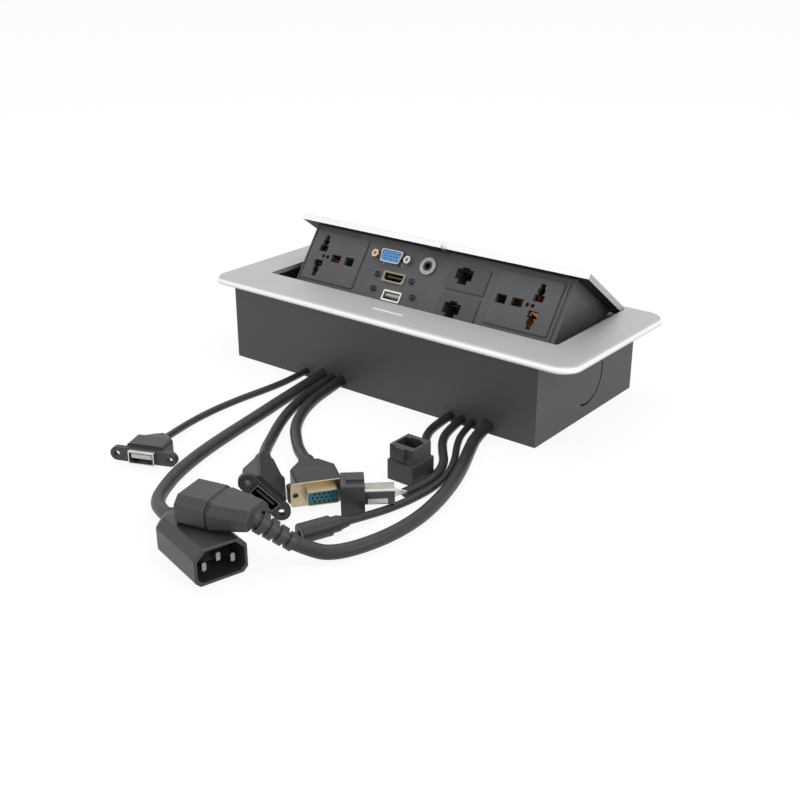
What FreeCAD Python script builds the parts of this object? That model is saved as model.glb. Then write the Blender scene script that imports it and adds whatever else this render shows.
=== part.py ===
"""Desk socket that sinks into a worktop: a flange frame over a steel box, a lid that tilts up
with a panel of power, video, data and sound outlets, and the leads that leave the box.

Millimetres. X runs along the length, Y towards the hinge, Z up. The origin is the centre of
the box's underside. The tilting unit is drawn shut, then turned open about the hinge pins."""
import FreeCAD, Part
import math
import os

V = FreeCAD.Vector
X_AXIS = V(1, 0, 0)
Y_AXIS = V(0, 1, 0)
Z_AXIS = V(0, 0, 1)

# Flange frame
flange_depth = 112.0
flange_thickness = 3.3
flange_top = 50.0
flange_corner = 12.0
flange_edge_round = 2.8
opening_end_margin = 25.5
opening_front_margin = 29.5
opening_rear_margin = 5.7
opening_corner = 2.0
seat_depth = 0.5
seat_gap = 0.3

# Steel box
box_end_inset = 20.3
box_side_inset = 2.45
sheet = 1.2
box_front_lip = 12.0
knockout_radius = 16.0
knockout_height = 24.3
knockout_slit = 1.3
knockout_hinge = 6.0
notch_top = 9.0
left_notch = (-58.0, -20.0)
right_notch = (51.0, 87.0)
grommet_rim = 1.5
grommet_clearance = 0.1

# Hinge
open_angle = 36.0
pin_radius = 1.5
pin_clearance = 0.05
pin_head_radius = 2.6
pin_head_height = 1.0
pin_inner_end = 87.3
pivot_drop = 6.6
pivot_to_strip = 1.1
ear_radius = 2.6
ear_low_polar = 300.0
bracket_thickness = 1.5
bracket_gap = 2.6
bracket_reach = 21.2
bracket_shoulder = (8.0, 9.0)
bracket_screw_margin = 6.0
bracket_top_gap = 0.5
bracket_depth = 35.0
bracket_leg_top_drop = 10.0
bracket_leg_length = 9.9
stud_radius = 1.4
stud_orbit = 14.0
stud_open_polar = 197.0
stud_slot_clearance = 0.3
stud_proud = 0.5

spring_wire = 0.9
spring_mean_radius = 2.25
spring_quarters = 9
spring_pitch = 1.35
spring_leg = 8.0
spring_end_gap = 1.4

# Damper gears
gear_module = 1.0
sector_teeth_full = 40
pinion_teeth = 10
mesh_polar = 235.0
sector_tooth_count = 6
gear_width = 2.0
pinion_side_gap = 0.3
gear_backlash = 0.3
tooth_root_share = 1.25
tooth_tip_share = 0.9
tooth_flank_angle = 20.0
tooth_embed = 0.3
damper_radius = 7.0
damper_length = 6.5
damper_rim = (1.2, 1.4)
damper_shaft_radius = 1.2
damper_bore_depth = 3.4
damper_shaft_end_gap = 0.4

# Lid
lid_thickness = 3.8
lid_end_gap = 0.8
lid_depth = 53.35
lid_rear_to_pivot = 3.6
lid_edge_round = 0.6
tab_width = 15.0
tab_reach = 3.4
tab_thickness = 1.0
tab_lip = 2.4
tab_panel_gap = 2.5

# Panel and tray
panel_drop = 41.2
panel_end_inset = 9.2
media_field = 99.5
socket_margins = (2.0, 6.5)
panel_thickness = 2.0
panel_setback = 6.75
panel_rib = 0.8
panel_rib_width = 1.0
inner_rib_margins = (3.6, 2.5)
cheek_thickness = 2.0
tray_floor_depth = 25.0
tray_belly = (10.2, 11.0)
tray_rear_gap = 4.7
tray_rear_drop = 10.2
tray_sheet = 1.2
tray_side_gap = 0.1
tray_top_trim = 0.01

# Outlets on the panel: centre along X and height above the panel's lower edge
fit_gap = 0.15
bezel_proud = 0.8
moulding_corner = 1.0
socket_size = (43.0, 33.0)
socket_pattern_shift = {-1: (0.0, 0.0), 1: (-3.0, -0.6)}
socket_step = 1.2
socket_wall = 1.0
socket_depth = 21.2
socket_height = 21.5
pilot_holes = [9.5, 6.0]
pilot_radius = 1.3
earth_holes = [(-1.0, 7.5, 5.0), (-12.0, 7.0, 5.5)]
line_keyhole_along = 11.6
line_keyhole_parts = [(5.1, 6.6, 4.2), (10.4, 3.2, 7.2)]
line_round_radius = 2.5
line_round_height = 9.5
line_contact_width = 6.8
line_contact_start = 3.2
line_contact_wall_gap = 0.7
earth_contact_rise = 5.7
earth_contact_start = 2.9
earth_contact_wall_gap = 3.6
contact_sheet = 0.6
contact_setback = 2.5
vga_place = (-30.4, 30.6)
vga_plate = (30.8, 12.4)
vga_plate_thickness = 0.8
vga_screw_spacing = 25.0
vga_shell_size = (16.9, 8.3)
vga_corner = 1.4
vga_draw_angle = 10.0
vga_opening_gap = 0.6
vga_reach = 2.8
vga_depth = 8.0
vga_pitch = (2.29, 1.98)
vga_hole_radius = 0.5
vga_hole_depth = 3.0
post_length = 3.0
post_radius = 2.7
post_bore = 1.25
hdmi_place = (-24.0, 18.2)
hdmi_rim = (16.8, 6.8)
hdmi_shell_size = (15.2, 5.8)
hdmi_depth = 11.0
hdmi_drawn_corner = 1.5
hdmi_tongue = (11.6, 1.2, 0.5)
usb_place = (-20.5, 6.5)
usb_rim = (14.0, 7.0)
usb_shell_size = (13.1, 5.7)
usb_depth = 15.0
usb_drawn_corner = 0.4
usb_tongue = (11.0, 1.8, 1.0)
port_wall = 0.5
port_stop = (1.5, 1.7)
port_tongue_setback = 0.6
audio_place = (-2.8, 30.1)
audio_ring_radius = 5.6
audio_thread_radius = 3.9
audio_bore_radius = 1.8
audio_nut_height = 1.2
audio_body = (10.4, 12.0)
network_x = 27.7
network_heights = {"upper": 27.6, "lower": 9.0}
network_plate = (27.5, 16.0)
network_body = (24.0, 15.0)
network_depth = 19.0
network_mouth = (11.8, 6.6)
network_latch = (6.5, 2.8)
network_crown = (5.5, 1.3)
network_mouth_shift = {"upper": (-3.4, 2.3), "lower": (-3.4, -0.9)}
network_mouth_depth = 13.0
contact_pitch = 1.02
contact_wire = 0.42
wire_run = 9.0
wire_drop = 2.7
wire_end_run = 2.0
port_screws = [(-37.0, 18.5), (-10.5, 18.5), (-36.0, 9.0), (-5.5, 9.0)]
port_screw_radius = 1.9
port_screw_height = 1.1
port_screw_slot = (0.5, 0.5)
port_screw_shank = 0.9
port_screw_clearance = 0.1

# Screws of the box
screw_radius = 1.45
screw_head_radius = 2.6
screw_head_height = 1.7
screw_clearance = 0.15
screw_slot = (0.7, 0.8)
frame_screw_cover = 1.0
frame_screw_tip_gap = 0.2
frame_screw_shares = (-0.42, -0.14, 0.14, 0.42)

# Magnetic catch
magnet_radius = 4.0
magnet_height = 3.4
magnet_places = [(-45.0, 12.0), (45.0, 12.0)]

# Leads: radius, then the points of the route, with Y from a plane a little inside the front wall
lead_plane_inset = 3.55
bend_share = 0.45
cord_routes = {
    "cord_usb": (2.0, [
        (-53, -1.2, 4.1), (-53.2, -16, 2.8), (-54.8, -34, 2), (-57.2, -56, 2), (-57.6, -78, 2),
        (-55.4, -97, 2.2), (-50.4, -112, 3.6), (-44.2, -127.4, 5.7)]),
    "cord_mains_in": (3.5, [
        (-40, -1.2, 5.1), (-38.6, -20, 3.6), (-35, -42, 3.5), (-30.2, -67, 3.5),
        (-25.4, -94, 3.5), (-20.2, -120, 3.5), (-13, -144, 3.5), (-5, -160.6, 3.5),
        (3.4, -172.8, 4.4), (15, -181.6, 7.0), (29.4, -186.9, 9.1)]),
    "cord_hdmi": (3.0, [
        (-32.3, -1.2, 4.8), (-31, -19, 3.1), (-27.6, -34, 3), (-21.4, -53, 3), (-12.6, -71, 3),
        (-2.6, -87, 3.6), (11, -106.2, 7.4), (25.8, -122, 12.6)]),
    "cord_vga": (3.2, [
        (-25, -1.2, 5.0), (-23.9, -18, 3.3), (-20.4, -34, 3.2), (-13, -52, 3.2),
        (-3, -68, 3.2), (9, -80, 3.2), (22.4, -91.8, 4.4), (36.4, -101.5, 7.4)]),
    "cord_network_a": (2.5, [
        (56.5, -1.2, 4.3), (56, -16, 2.8), (58.6, -28, 2.5), (65, -39, 2.7), (73, -48, 4.2),
        (78.4, -62.6, 6)]),
    "cord_network_b": (2.5, [
        (64, -1.2, 4.3), (65.2, -17, 2.7), (70, -30, 2.5), (78.6, -41.5, 2.5), (87, -51.5, 2.5),
        (92, -63.5, 2.5), (93.6, -78, 2.6), (93.2, -93, 4.2)]),
    "cord_audio": (2.0, [
        (71, -1.2, 4.0), (73, -16, 2.4), (79.6, -30, 2), (88.6, -44, 2), (95.6, -58.8, 2),
        (98.8, -75, 2), (98, -91, 2), (95.4, -106, 2), (92.4, -119.8, 3), (90.6, -133, 5.1)]),
    "cord_mains_out": (3.5, [
        (81, -1.2, 5.1), (83.4, -18, 3.7), (90.4, -34, 3.5), (98.7, -52, 3.5), (105.5, -70, 3.5),
        (110.6, -89, 3.5), (113.6, -108, 3.5), (113, -128, 3.5), (108.4, -146.5, 3.5),
        (102.4, -157.4, 3.6), (96.6, -162.8, 5.0), (88.8, -168.8, 9.8)]),
}

# Connectors on the leads: mouth centre, heading in degrees, roll about the lead
usb_port_at = (-36.1, -147.9, 5.8, -67.5)
hdmi_port_at = (54.6, -150.7, 12.8, -44.8)
hdmi_port_roll = -47.0
vga_port_at = (63.9, -121.6, 6.6, -36.0)
mains_plug_at = (76.2, -199.6, 9.2, -15.5)
mains_connector_at = (45.0, -188.4, 18.2, 193.0)
boot_start = (75.4, -181.4, 24.0)
boot_end = (89.4, -168.4, 9.2)
keystone_a_at = (80.0, -71.0)
keystone_b_at = (94.5, -102.6, 8.5, 222.0)
audio_socket_at = (81.3, -156.0, 5.2, -112.0)

# Lead-end ports with ears: plate is thickness, hole spacing, ear radius and hole radius; mould is
# width, height, straight length, collar radius and whole length; tongue is width, height and rise
usb_port_plate = (3.0, 30.0, 3.8, 1.7)
usb_port_mould = (21.0, 11.0, 14.0, 3.4, 23.0)
usb_port_shell_size = (14.5, 7.0, 12.0, 2.5)
usb_port_tongue = (11.6, 2.4, 0.8)
hdmi_port_plate = (3.0, 22.5, 4.4, 1.6)
hdmi_port_mould = (19.5, 12.0, 24.0, 4.4, 41.0)
hdmi_port_shell_size = (15.0, 5.9, 12.0, 0.7)
hdmi_port_tongue = (11.6, 1.2, 0.5)
mould_round = 2.0
mould_end_share = 1.7
port_tongue_root = 0.5
port_tongue_tip_gap = 0.8

# Lead-end video socket
vga_port_body_size = (23.0, 11.2, 18.0)
vga_port_ear = (7.2, 9.2, 4.0)
vga_port_taper = (29.0, 9.4, 8.4)
vga_port_collar = (4.4, 35.0, 14.0)
vga_port_tube = (16.0, 7.6, 5.4, 6.0)
vga_port_plate = (30.0, 12.4, 1.0)
vga_port_screw_radius = 1.4
vga_port_screw_depth = 3.0
vga_port_ear_round = 1.5
vga_port_step = 1.0
vga_port_room = 2.0
vga_port_insert_gap = 0.1

# Mains plug, its cavity and blades
plug_size = (26.0, 17.8, 37.0)
plug_bevels = (4.2, 2.4)
plug_tail = (47.0, 14.0, 11.0)
plug_collar = (5.2, 49.6, 12.0)
plug_wall = 1.5
plug_cavity_depth = 16.0
blade_size = (2.0, 4.0)
blade_round = 0.6
blade_setback = 3.0
blade_places = [(-7.0, -1.4), (7.0, -1.4), (0.0, 1.4)]

# Mains connector, its groove and boot
nose_size = (24.0, 13.6, 16.0)
nose_bevels = (3.8, 1.4)
groove_depth = 0.8
groove_width = 1.4
grip_start = (25.0, 12.8)
grip_end = (19.0, 10.4)
grip_length = 18.4
grip_fall = 1.0
slot_size = (2.4, 4.8, 14.0)
slot_places = [(-7.0, 5.6), (7.0, 5.6), (0.0, 8.8)]
boot_radii = (5.6, 4.3)
boot_grooves = 4
boot_groove_depth = 1.5
boot_ring_share = 1.5

# Snap-in data jacks
jack_base = (17.0, 18.0, 11.0)
jack_head = (14.8, 15.4, 19.6)
jack_head_shift = 1.0
jack_latch = (6.0, 1.4, 12.5)
jack_cavity_floor = 7.0
jack_wall_offset = 0.5
jack_front = (14.5, 26.0, 16.0, 16.4)
jack_cavity_start = 16.5
jack_mouth = (11.8, 8.2)
jack_notch = (6.0, 1.3)
jack_clip = (9.0, 6.0, 1.3)
barrel_size = (9.2, 8.2)
barrel_round = 1.4
pair_radius = 0.5
pair_grip = (1.0, 0.6)
pair_spread = 1.5
pair_places = [(-1.2, -1.0), (-0.4, 1.0), (0.5, -0.6), (1.3, 1.2)]

# Lead-end sound socket: radius and end of each step
audio_steps = [(4.9, 15.5), (3.9, 20.0)]
audio_tail = (2.6, 3.6, 25.0)
audio_socket_bore = 11.0

# Positions worked out from the sizes above
panel_half_length = (sum(socket_margins) + 2 * socket_size[0] + media_field) / 2
left_socket_x = -panel_half_length + socket_margins[0] + socket_size[0] / 2
right_socket_x = panel_half_length - socket_margins[1] - socket_size[0] / 2
flange_length = 2 * (panel_half_length + panel_end_inset + lid_end_gap + opening_end_margin)
box_length = flange_length - 2 * box_end_inset
box_depth = flange_depth - 2 * box_side_inset
flange_underside = flange_top - flange_thickness
box_top = flange_underside + seat_depth
opening_half = flange_length / 2 - opening_end_margin
opening_front = -flange_depth / 2 + opening_front_margin
opening_rear = flange_depth / 2 - opening_rear_margin
box_front = -box_depth / 2
box_rear = box_depth / 2
lead_plane = box_front + lead_plane_inset
pivot = V(0, opening_rear - pivot_to_strip, flange_top - pivot_drop)
lid_half = opening_half - lid_end_gap
lid_rear = pivot.y - lid_rear_to_pivot
lid_front = lid_rear - lid_depth
lid_underside = flange_top - lid_thickness
panel_front = lid_front + panel_setback
panel_rear = panel_front + panel_thickness
panel_bottom = lid_underside - panel_drop
bracket_inner = panel_half_length + bracket_gap
bracket_outer = bracket_inner + bracket_thickness
bracket_rear = box_rear - sheet
bracket_front = pivot.y - bracket_reach
sector_pitch = gear_module * sector_teeth_full / 2
pinion_pitch = gear_module * pinion_teeth / 2


def polar(radius, degrees, x=0.0):
    """Point at a distance and an angle from the hinge line, seen along X."""
    angle = math.radians(degrees)
    return V(x, pivot.y + radius * math.cos(angle), pivot.z + radius * math.sin(angle))


damper_axis = polar(sector_pitch + pinion_pitch, mesh_polar)


def block(x0, x1, y0, y1, z0, z1):
    """Box between two corners, given low and high along each axis."""
    return Part.makeBox(x1 - x0, y1 - y0, z1 - z0, V(x0, y0, z0))


def rounded_block(x0, x1, y0, y1, z0, z1, radius, axis):
    """Box whose four edges along one axis are rounded."""
    solid = block(x0, x1, y0, y1, z0, z1)
    long_edges = []
    for edge in solid.Edges:
        run = edge.Vertexes[1].Point - edge.Vertexes[0].Point
        if run.cross(axis).Length < 1e-6:
            long_edges.append(edge)
    return solid.makeFillet(radius, long_edges)


def rod(radius, start, end):
    """Cylinder from one point to another."""
    return Part.makeCylinder(radius, (end - start).Length, start, end - start)


def across(radius, x0, x1, y, z):
    """Cylinder along X between two stations."""
    return Part.makeCylinder(radius, x1 - x0, V(x0, y, z), X_AXIS)


def extruded(points, travel):
    """Solid of a closed straight-sided outline, pushed along a vector."""
    return Part.Face(Part.makePolygon(points + [points[0]])).extrude(travel)


def frustum(x0, width0, height0, x1, width1, height1, z=0.0):
    """Tapering block along X between two centred rectangles."""
    wires = []
    for x, width, height in ((x0, width0, height0), (x1, width1, height1)):
        half = width / 2
        rise = height / 2
        corners = [V(x, -half, z - rise), V(x, half, z - rise), V(x, half, z + rise), V(x, -half, z + rise)]
        wires.append(Part.makePolygon(corners + [corners[0]]))
    return Part.makeLoft(wires, True, True)


def bevelled_section(x, width, low, high, bevels):
    """Outline across X with its upper and lower corners cut at 45 degrees."""
    half = width / 2
    top, foot = bevels
    corners = [V(x, -half, low + foot), V(x, -half + foot, low),
               V(x, half - foot, low), V(x, half, low + foot),
               V(x, half, high - top), V(x, half - top, high),
               V(x, -half + top, high), V(x, -half, high - top)]
    return Part.makePolygon(corners + [corners[0]])


def bevelled_block(x0, section0, x1, section1):
    """Block along X between two bevelled outlines, each given as width, low, high and bevels."""
    return Part.makeLoft([bevelled_section(x0, *section0), bevelled_section(x1, *section1)], True, True)


def mirrored_pair(shape):
    """A shape with its mirror image at the other end of the box."""
    return [shape, shape.mirror(V(0, 0, 0), X_AXIS)]


def opened(shape):
    """A piece of the tilting unit, turned from shut to open about the hinge line."""
    turned = shape.copy()
    turned.rotate(pivot, X_AXIS, -open_angle)
    return turned


def placed(shape, at, roll=0.0):
    """A connector drawn with its mouth at the origin facing +X, laid where its lead ends."""
    turned = shape.copy()
    turned.rotate(V(0, 0, 0), X_AXIS, roll)
    turned.rotate(V(0, 0, 0), Z_AXIS, at[3])
    turned.translate(V(at[0], at[1] + lead_plane, at[2]))
    return turned


def save(name, shapes):
    """Write one node; several solids become a group."""
    shape = shapes if isinstance(shapes, Part.Shape) else Part.makeCompound(shapes)
    shape.exportStep("parts/" + name + ".step")


def flange_frame():
    """Cast frame with round corners, a round top edge and the opening for the lid."""
    plate = rounded_block(-flange_length / 2, flange_length / 2, -flange_depth / 2, flange_depth / 2,
                          flange_underside, flange_top, flange_corner, Z_AXIS)
    rim = [edge for edge in plate.Edges
           if all(abs(vertex.Z - flange_top) < 1e-6 for vertex in edge.Vertexes)]
    plate = plate.makeFillet(flange_edge_round, rim)
    opening = rounded_block(-opening_half, opening_half, opening_front, opening_rear,
                            flange_underside - 1, flange_top + 1, opening_corner, Z_AXIS)
    seat = block(-box_length / 2 - seat_gap, box_length / 2 + seat_gap, box_front - seat_gap,
                 box_rear + seat_gap, flange_underside - 1, box_top)
    plate = plate.cut([opening, seat])
    for x, y in frame_screw_places():
        hole = rod(screw_radius + pin_clearance, V(x, y, flange_underside - 1),
                   V(x, y, flange_top - frame_screw_cover))
        plate = plate.cut(hole)
    return plate


def frame_screw_places():
    """Screws that hold the frame to the front lip of the box."""
    y = box_front + sheet + box_front_lip / 2
    return [(box_length * share, y) for share in frame_screw_shares]


def bracket_screw_places():
    """Screws of one hinge bracket through the rear wall, as X and Z."""
    x = bracket_outer + bracket_leg_length / 2
    return [(x, flange_top - bracket_leg_top_drop - bracket_screw_margin),
            (x, flange_top - bracket_depth + bracket_screw_margin)]


def knockout_cut():
    """Slit round a push-out flap in the end wall, which keeps its front side as a hinge."""
    x0 = box_length / 2 - sheet - 1
    x1 = box_length / 2 + 1
    reach = knockout_radius + knockout_slit
    ring = across(reach, x0, x1, 0, knockout_height)
    ring = ring.cut(across(knockout_radius, x0, x1, 0, knockout_height))
    return ring.cut(block(x0, x1, -reach - 1, -knockout_hinge, knockout_height - reach,
                          knockout_height + reach))


def box_shell():
    """Folded steel box, open at the top, with a lip in front and notches for the leads."""
    outer = block(-box_length / 2, box_length / 2, box_front, box_rear, 0, box_top)
    inner = block(-box_length / 2 + sheet, box_length / 2 - sheet, box_front + sheet, box_rear - sheet,
                  sheet, box_top + 1)
    shell = outer.cut(inner)
    lip = block(-box_length / 2 + sheet, box_length / 2 - sheet, box_front + sheet,
                box_front + sheet + box_front_lip, box_top - sheet, box_top)
    shell = shell.fuse(lip).removeSplitter()
    for x0, x1 in (left_notch, right_notch):
        shell = shell.cut(block(x0, x1, box_front - 1, box_front + sheet + 1, sheet, notch_top))
    for x, y in frame_screw_places():
        hole = rod(screw_radius + screw_clearance, V(x, y, box_top - 2 * sheet), V(x, y, box_top + 1))
        shell = shell.cut(hole)
    for x, z in bracket_screw_places():
        for side in (-1, 1):
            hole = rod(screw_radius + screw_clearance, V(side * x, box_rear - 2 * sheet, z),
                       V(side * x, box_rear + 1, z))
            shell = shell.cut(hole)
    return shell.cut(knockout_cut())


def grommet(notch):
    """Rubber strip that fills a notch flush with the wall, with a rim inside and a hole per lead."""
    x0, x1 = notch
    core = block(x0 + grommet_clearance, x1 - grommet_clearance, box_front, box_front + sheet + grommet_rim,
                 sheet, notch_top - grommet_clearance)
    inner_rim = block(x0 - grommet_rim, x1 + grommet_rim, box_front + sheet,
                      box_front + sheet + grommet_rim, sheet, notch_top + grommet_rim)
    holes = []
    for radius, route in cord_routes.values():
        if x0 < route[0][0] < x1:
            start = V(*route[0]) + V(0, lead_plane, 0)
            way = (V(*route[0]) - V(*route[1])).normalize()
            holes.append(rod(radius, start - way * 2 * grommet_rim - way * sheet, start + way * grommet_rim))
    return core.fuse(inner_rim).removeSplitter().cut(holes)


def screw(base, direction, grip):
    """Pan-head screw: the head's seat is at base, the shank runs back along the hole."""
    head = Part.makeCylinder(screw_head_radius, screw_head_height, base, direction)
    shank = Part.makeCylinder(screw_radius, grip, base, direction * -1)
    width, depth = screw_slot
    slot = Part.makeBox(2 * screw_head_radius + 1, width, depth,
                        V(-screw_head_radius - 0.5, -width / 2, screw_head_height - depth))
    slot.Placement = FreeCAD.Placement(base, FreeCAD.Rotation(Z_AXIS, direction)).multiply(slot.Placement)
    return head.fuse(shank).cut(slot)


def fixing_screws():
    """Frame screws under the lip and bracket screws in the rear wall."""
    screws = []
    for x, y in frame_screw_places():
        screws.append(screw(V(x, y, box_top - sheet), Z_AXIS * -1,
                            flange_top - frame_screw_cover - frame_screw_tip_gap - box_top + sheet))
    for x, z in bracket_screw_places():
        for side in (-1, 1):
            screws.append(screw(V(side * x, box_rear, z), Y_AXIS, sheet + bracket_thickness))
    return screws


def stud_slot():
    """Arc slot in the bracket that the stop stud of the tilting unit travels in."""
    width = stud_radius + stud_slot_clearance
    x0 = bracket_inner - 1
    span = bracket_thickness + 2
    ring = Part.makeCylinder(stud_orbit + width, span, V(x0, pivot.y, pivot.z), X_AXIS)
    ring = ring.cut(Part.makeCylinder(stud_orbit - width, span, V(x0, pivot.y, pivot.z), X_AXIS))
    reach = stud_orbit + 2 * width
    wedge = [V(x0, pivot.y, pivot.z), polar(reach, stud_open_polar, x0),
             polar(reach / math.cos(math.radians(open_angle / 2)), stud_open_polar + open_angle / 2, x0),
             polar(reach, stud_open_polar + open_angle, x0)]
    slot = ring.common(extruded(wedge, V(span, 0, 0)))
    ends = []
    for degrees in (stud_open_polar, stud_open_polar + open_angle):
        centre = polar(stud_orbit, degrees)
        ends.append(across(width, x0, x0 + span, centre.y, centre.z))
    return slot.fuse(ends)


def hinge_bracket():
    """Right-hand bracket: a side plate for pin, stud and damper, with a leg on the rear wall."""
    top = lid_underside - bracket_top_gap
    bottom = flange_top - bracket_depth
    run, drop = bracket_shoulder
    outline = [V(bracket_inner, bracket_front, bottom), V(bracket_inner, bracket_front, top - drop),
               V(bracket_inner, bracket_front + run, top), V(bracket_inner, bracket_rear, top),
               V(bracket_inner, bracket_rear, bottom)]
    plate = extruded(outline, V(bracket_thickness, 0, 0))
    leg = block(bracket_outer, bracket_outer + bracket_leg_length, bracket_rear - bracket_thickness,
                bracket_rear, bottom, flange_top - bracket_leg_top_drop)
    bracket = plate.fuse(leg).removeSplitter()
    bracket = bracket.cut(across(pin_radius + pin_clearance, bracket_inner - 1, bracket_outer + 1,
                                 pivot.y, pivot.z))
    bracket = bracket.cut(across(damper_shaft_radius + screw_clearance, bracket_inner - 1,
                                 bracket_outer + 1, damper_axis.y, damper_axis.z))
    bracket = bracket.cut(stud_slot())
    for x, z in bracket_screw_places():
        bracket = bracket.cut(rod(screw_radius + screw_clearance,
                                  V(x, bracket_rear - 2 * bracket_thickness, z), V(x, bracket_rear + 1, z)))
    return bracket


def hinge_pin():
    """Right-hand hinge pin with its head outside the bracket."""
    shank = across(pin_radius, pin_inner_end, bracket_outer, pivot.y, pivot.z)
    head = across(pin_head_radius, bracket_outer, bracket_outer + pin_head_height, pivot.y, pivot.z)
    return shank.fuse(head)


def damper():
    """Right-hand oil damper, a sealed pot behind the bracket with a bore for the pinion shaft."""
    pot = across(damper_radius, bracket_outer, bracket_outer + damper_length, damper_axis.y, damper_axis.z)
    rim_width, rim_height = damper_rim
    rim = across(damper_radius + rim_width, bracket_outer, bracket_outer + rim_height,
                 damper_axis.y, damper_axis.z)
    bore = across(damper_shaft_radius + pin_clearance, bracket_outer - 1, bracket_outer + damper_bore_depth,
                  damper_axis.y, damper_axis.z)
    return pot.fuse(rim).cut(bore)


def gear_tooth(centre, pitch, degrees, x0, x1):
    """One tooth of straight flanks, centred on an angle about a gear centre."""
    half_pitch = math.pi * gear_module / 4 - gear_backlash / 2
    root = pitch - tooth_root_share * gear_module
    tip = pitch + tooth_tip_share * gear_module
    slope = math.tan(math.radians(tooth_flank_angle))
    root_half = half_pitch + (pitch - root) * slope
    tip_half = half_pitch - (tip - pitch) * slope
    outline = [V(0, root - tooth_embed, -root_half), V(0, tip, -tip_half), V(0, tip, tip_half),
               V(0, root - tooth_embed, root_half)]
    tooth = extruded(outline, V(x1 - x0, 0, 0))
    tooth.rotate(V(0, 0, 0), X_AXIS, degrees)
    tooth.translate(V(x0, centre.y, centre.z))
    return tooth


def gear_sector():
    """Right-hand toothed sector on the cheek, drawn shut, with the stop stud on its outer face."""
    x0 = panel_half_length
    x1 = panel_half_length + gear_width
    tooth_angle = 360.0 / sector_teeth_full
    first = mesh_polar + tooth_angle / 2 + open_angle
    angles = [first - tooth_angle * count for count in range(sector_tooth_count)]
    root = sector_pitch - tooth_root_share * gear_module
    disc = Part.makeCylinder(root, gear_width, V(x0, pivot.y, pivot.z), X_AXIS)
    low = angles[-1] - tooth_angle / 3
    high = angles[0] + tooth_angle / 4
    middle = (low + high) / 2
    reach = root / math.cos(math.radians((high - low) / 2)) + 1
    wedge = [V(x0, pivot.y, pivot.z), polar(reach, low, x0), polar(reach, middle, x0),
             polar(reach, high, x0)]
    sector = disc.common(extruded(wedge, V(gear_width, 0, 0)))
    sector = sector.fuse(Part.makeCylinder(ear_radius, gear_width, V(x0, pivot.y, pivot.z), X_AXIS))
    sector = sector.fuse([gear_tooth(pivot, sector_pitch, degrees, x0, x1) for degrees in angles])
    stud = polar(stud_orbit, stud_open_polar + open_angle)
    sector = sector.fuse(across(stud_radius, x0, bracket_outer + stud_proud, stud.y, stud.z))
    return sector.cut(across(pin_radius + pin_clearance, x0 - 1, x1 + 1, pivot.y, pivot.z))


def damper_pinion():
    """Right-hand pinion and shaft, in mesh with the open sector."""
    x0 = panel_half_length + pinion_side_gap
    x1 = panel_half_length + gear_width
    root = pinion_pitch - tooth_root_share * gear_module
    wheel = across(root, x0, x1, damper_axis.y, damper_axis.z)
    spacing = 360.0 / pinion_teeth
    teeth = [gear_tooth(damper_axis, pinion_pitch, mesh_polar - 180 + spacing * count, x0, x1)
             for count in range(pinion_teeth)]
    shaft = across(damper_shaft_radius, x1, bracket_outer + damper_bore_depth - damper_shaft_end_gap,
                   damper_axis.y, damper_axis.z)
    return wheel.fuse(teeth + [shaft])


def lid_plate():
    """Lid, a flat plate with a softened top edge."""
    plate = block(-lid_half, lid_half, lid_front, lid_rear, lid_underside, flange_top)
    rim = [edge for edge in plate.Edges
           if all(abs(vertex.Z - flange_top) < 1e-6 for vertex in edge.Vertexes)]
    return plate.makeFillet(lid_edge_round, rim)


def finger_tab():
    """Pull under the lid's front edge, turned up at its end."""
    top = lid_underside
    foot = block(-tab_width / 2, tab_width / 2, lid_front - tab_reach, panel_front - tab_panel_gap,
                 top - tab_thickness, top)
    lip = block(-tab_width / 2, tab_width / 2, lid_front - tab_reach, lid_front - tab_reach + tab_thickness,
                top - tab_thickness, top + tab_lip - tab_thickness)
    return foot.fuse(lip).removeSplitter()


def panel_hole(place, size):
    """Cutter for a hole in the panel, a clearance larger than what fits in."""
    x, height = place
    half = size[0] / 2 + fit_gap
    rise = size[1] / 2 + fit_gap
    z = panel_bottom + height
    return block(x - half, x + half, panel_front - 2, panel_rear + 1, z - rise, z + rise)


def panel_plate():
    """Front panel with a raised border and a hole for every outlet."""
    half = panel_half_length
    plate = block(-half, half, panel_front, panel_rear, panel_bottom, lid_underside)
    border = block(-half, half, panel_front - panel_rib, panel_front, panel_bottom, lid_underside)
    border = border.cut(block(-half + panel_rib_width, half - panel_rib_width, panel_front - 2, panel_rear,
                              panel_bottom + panel_rib_width, lid_underside - panel_rib_width))
    end_margin, rise_margin = inner_rib_margins
    inner_rib = block(half - end_margin - panel_rib_width, half - end_margin, panel_front - panel_rib,
                      panel_front, panel_bottom + rise_margin, lid_underside - rise_margin)
    plate = plate.fuse([border, inner_rib]).removeSplitter()
    neck = (socket_size[0] - 2 * socket_step, socket_size[1] - 2 * socket_step)
    cutters = [panel_hole((left_socket_x, socket_height), neck),
               panel_hole((right_socket_x, socket_height), neck),
               panel_hole(vga_place, [size + vga_opening_gap for size in vga_shell_size]),
               panel_hole(hdmi_place, hdmi_shell_size),
               panel_hole(usb_place, usb_shell_size)]
    for height in network_heights.values():
        cutters.append(panel_hole((network_x, height), network_body))
    audio = V(audio_place[0], panel_front - 2, panel_bottom + audio_place[1])
    cutters.append(Part.makeCylinder(audio_thread_radius + fit_gap, panel_thickness + 4, audio, Y_AXIS))
    for x, height in port_screws:
        centre = V(x, panel_front - 1, panel_bottom + height)
        cutters.append(Part.makeCylinder(port_screw_shank + port_screw_clearance, panel_thickness + 2,
                                         centre, Y_AXIS))
    return plate.cut(cutters)


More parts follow.
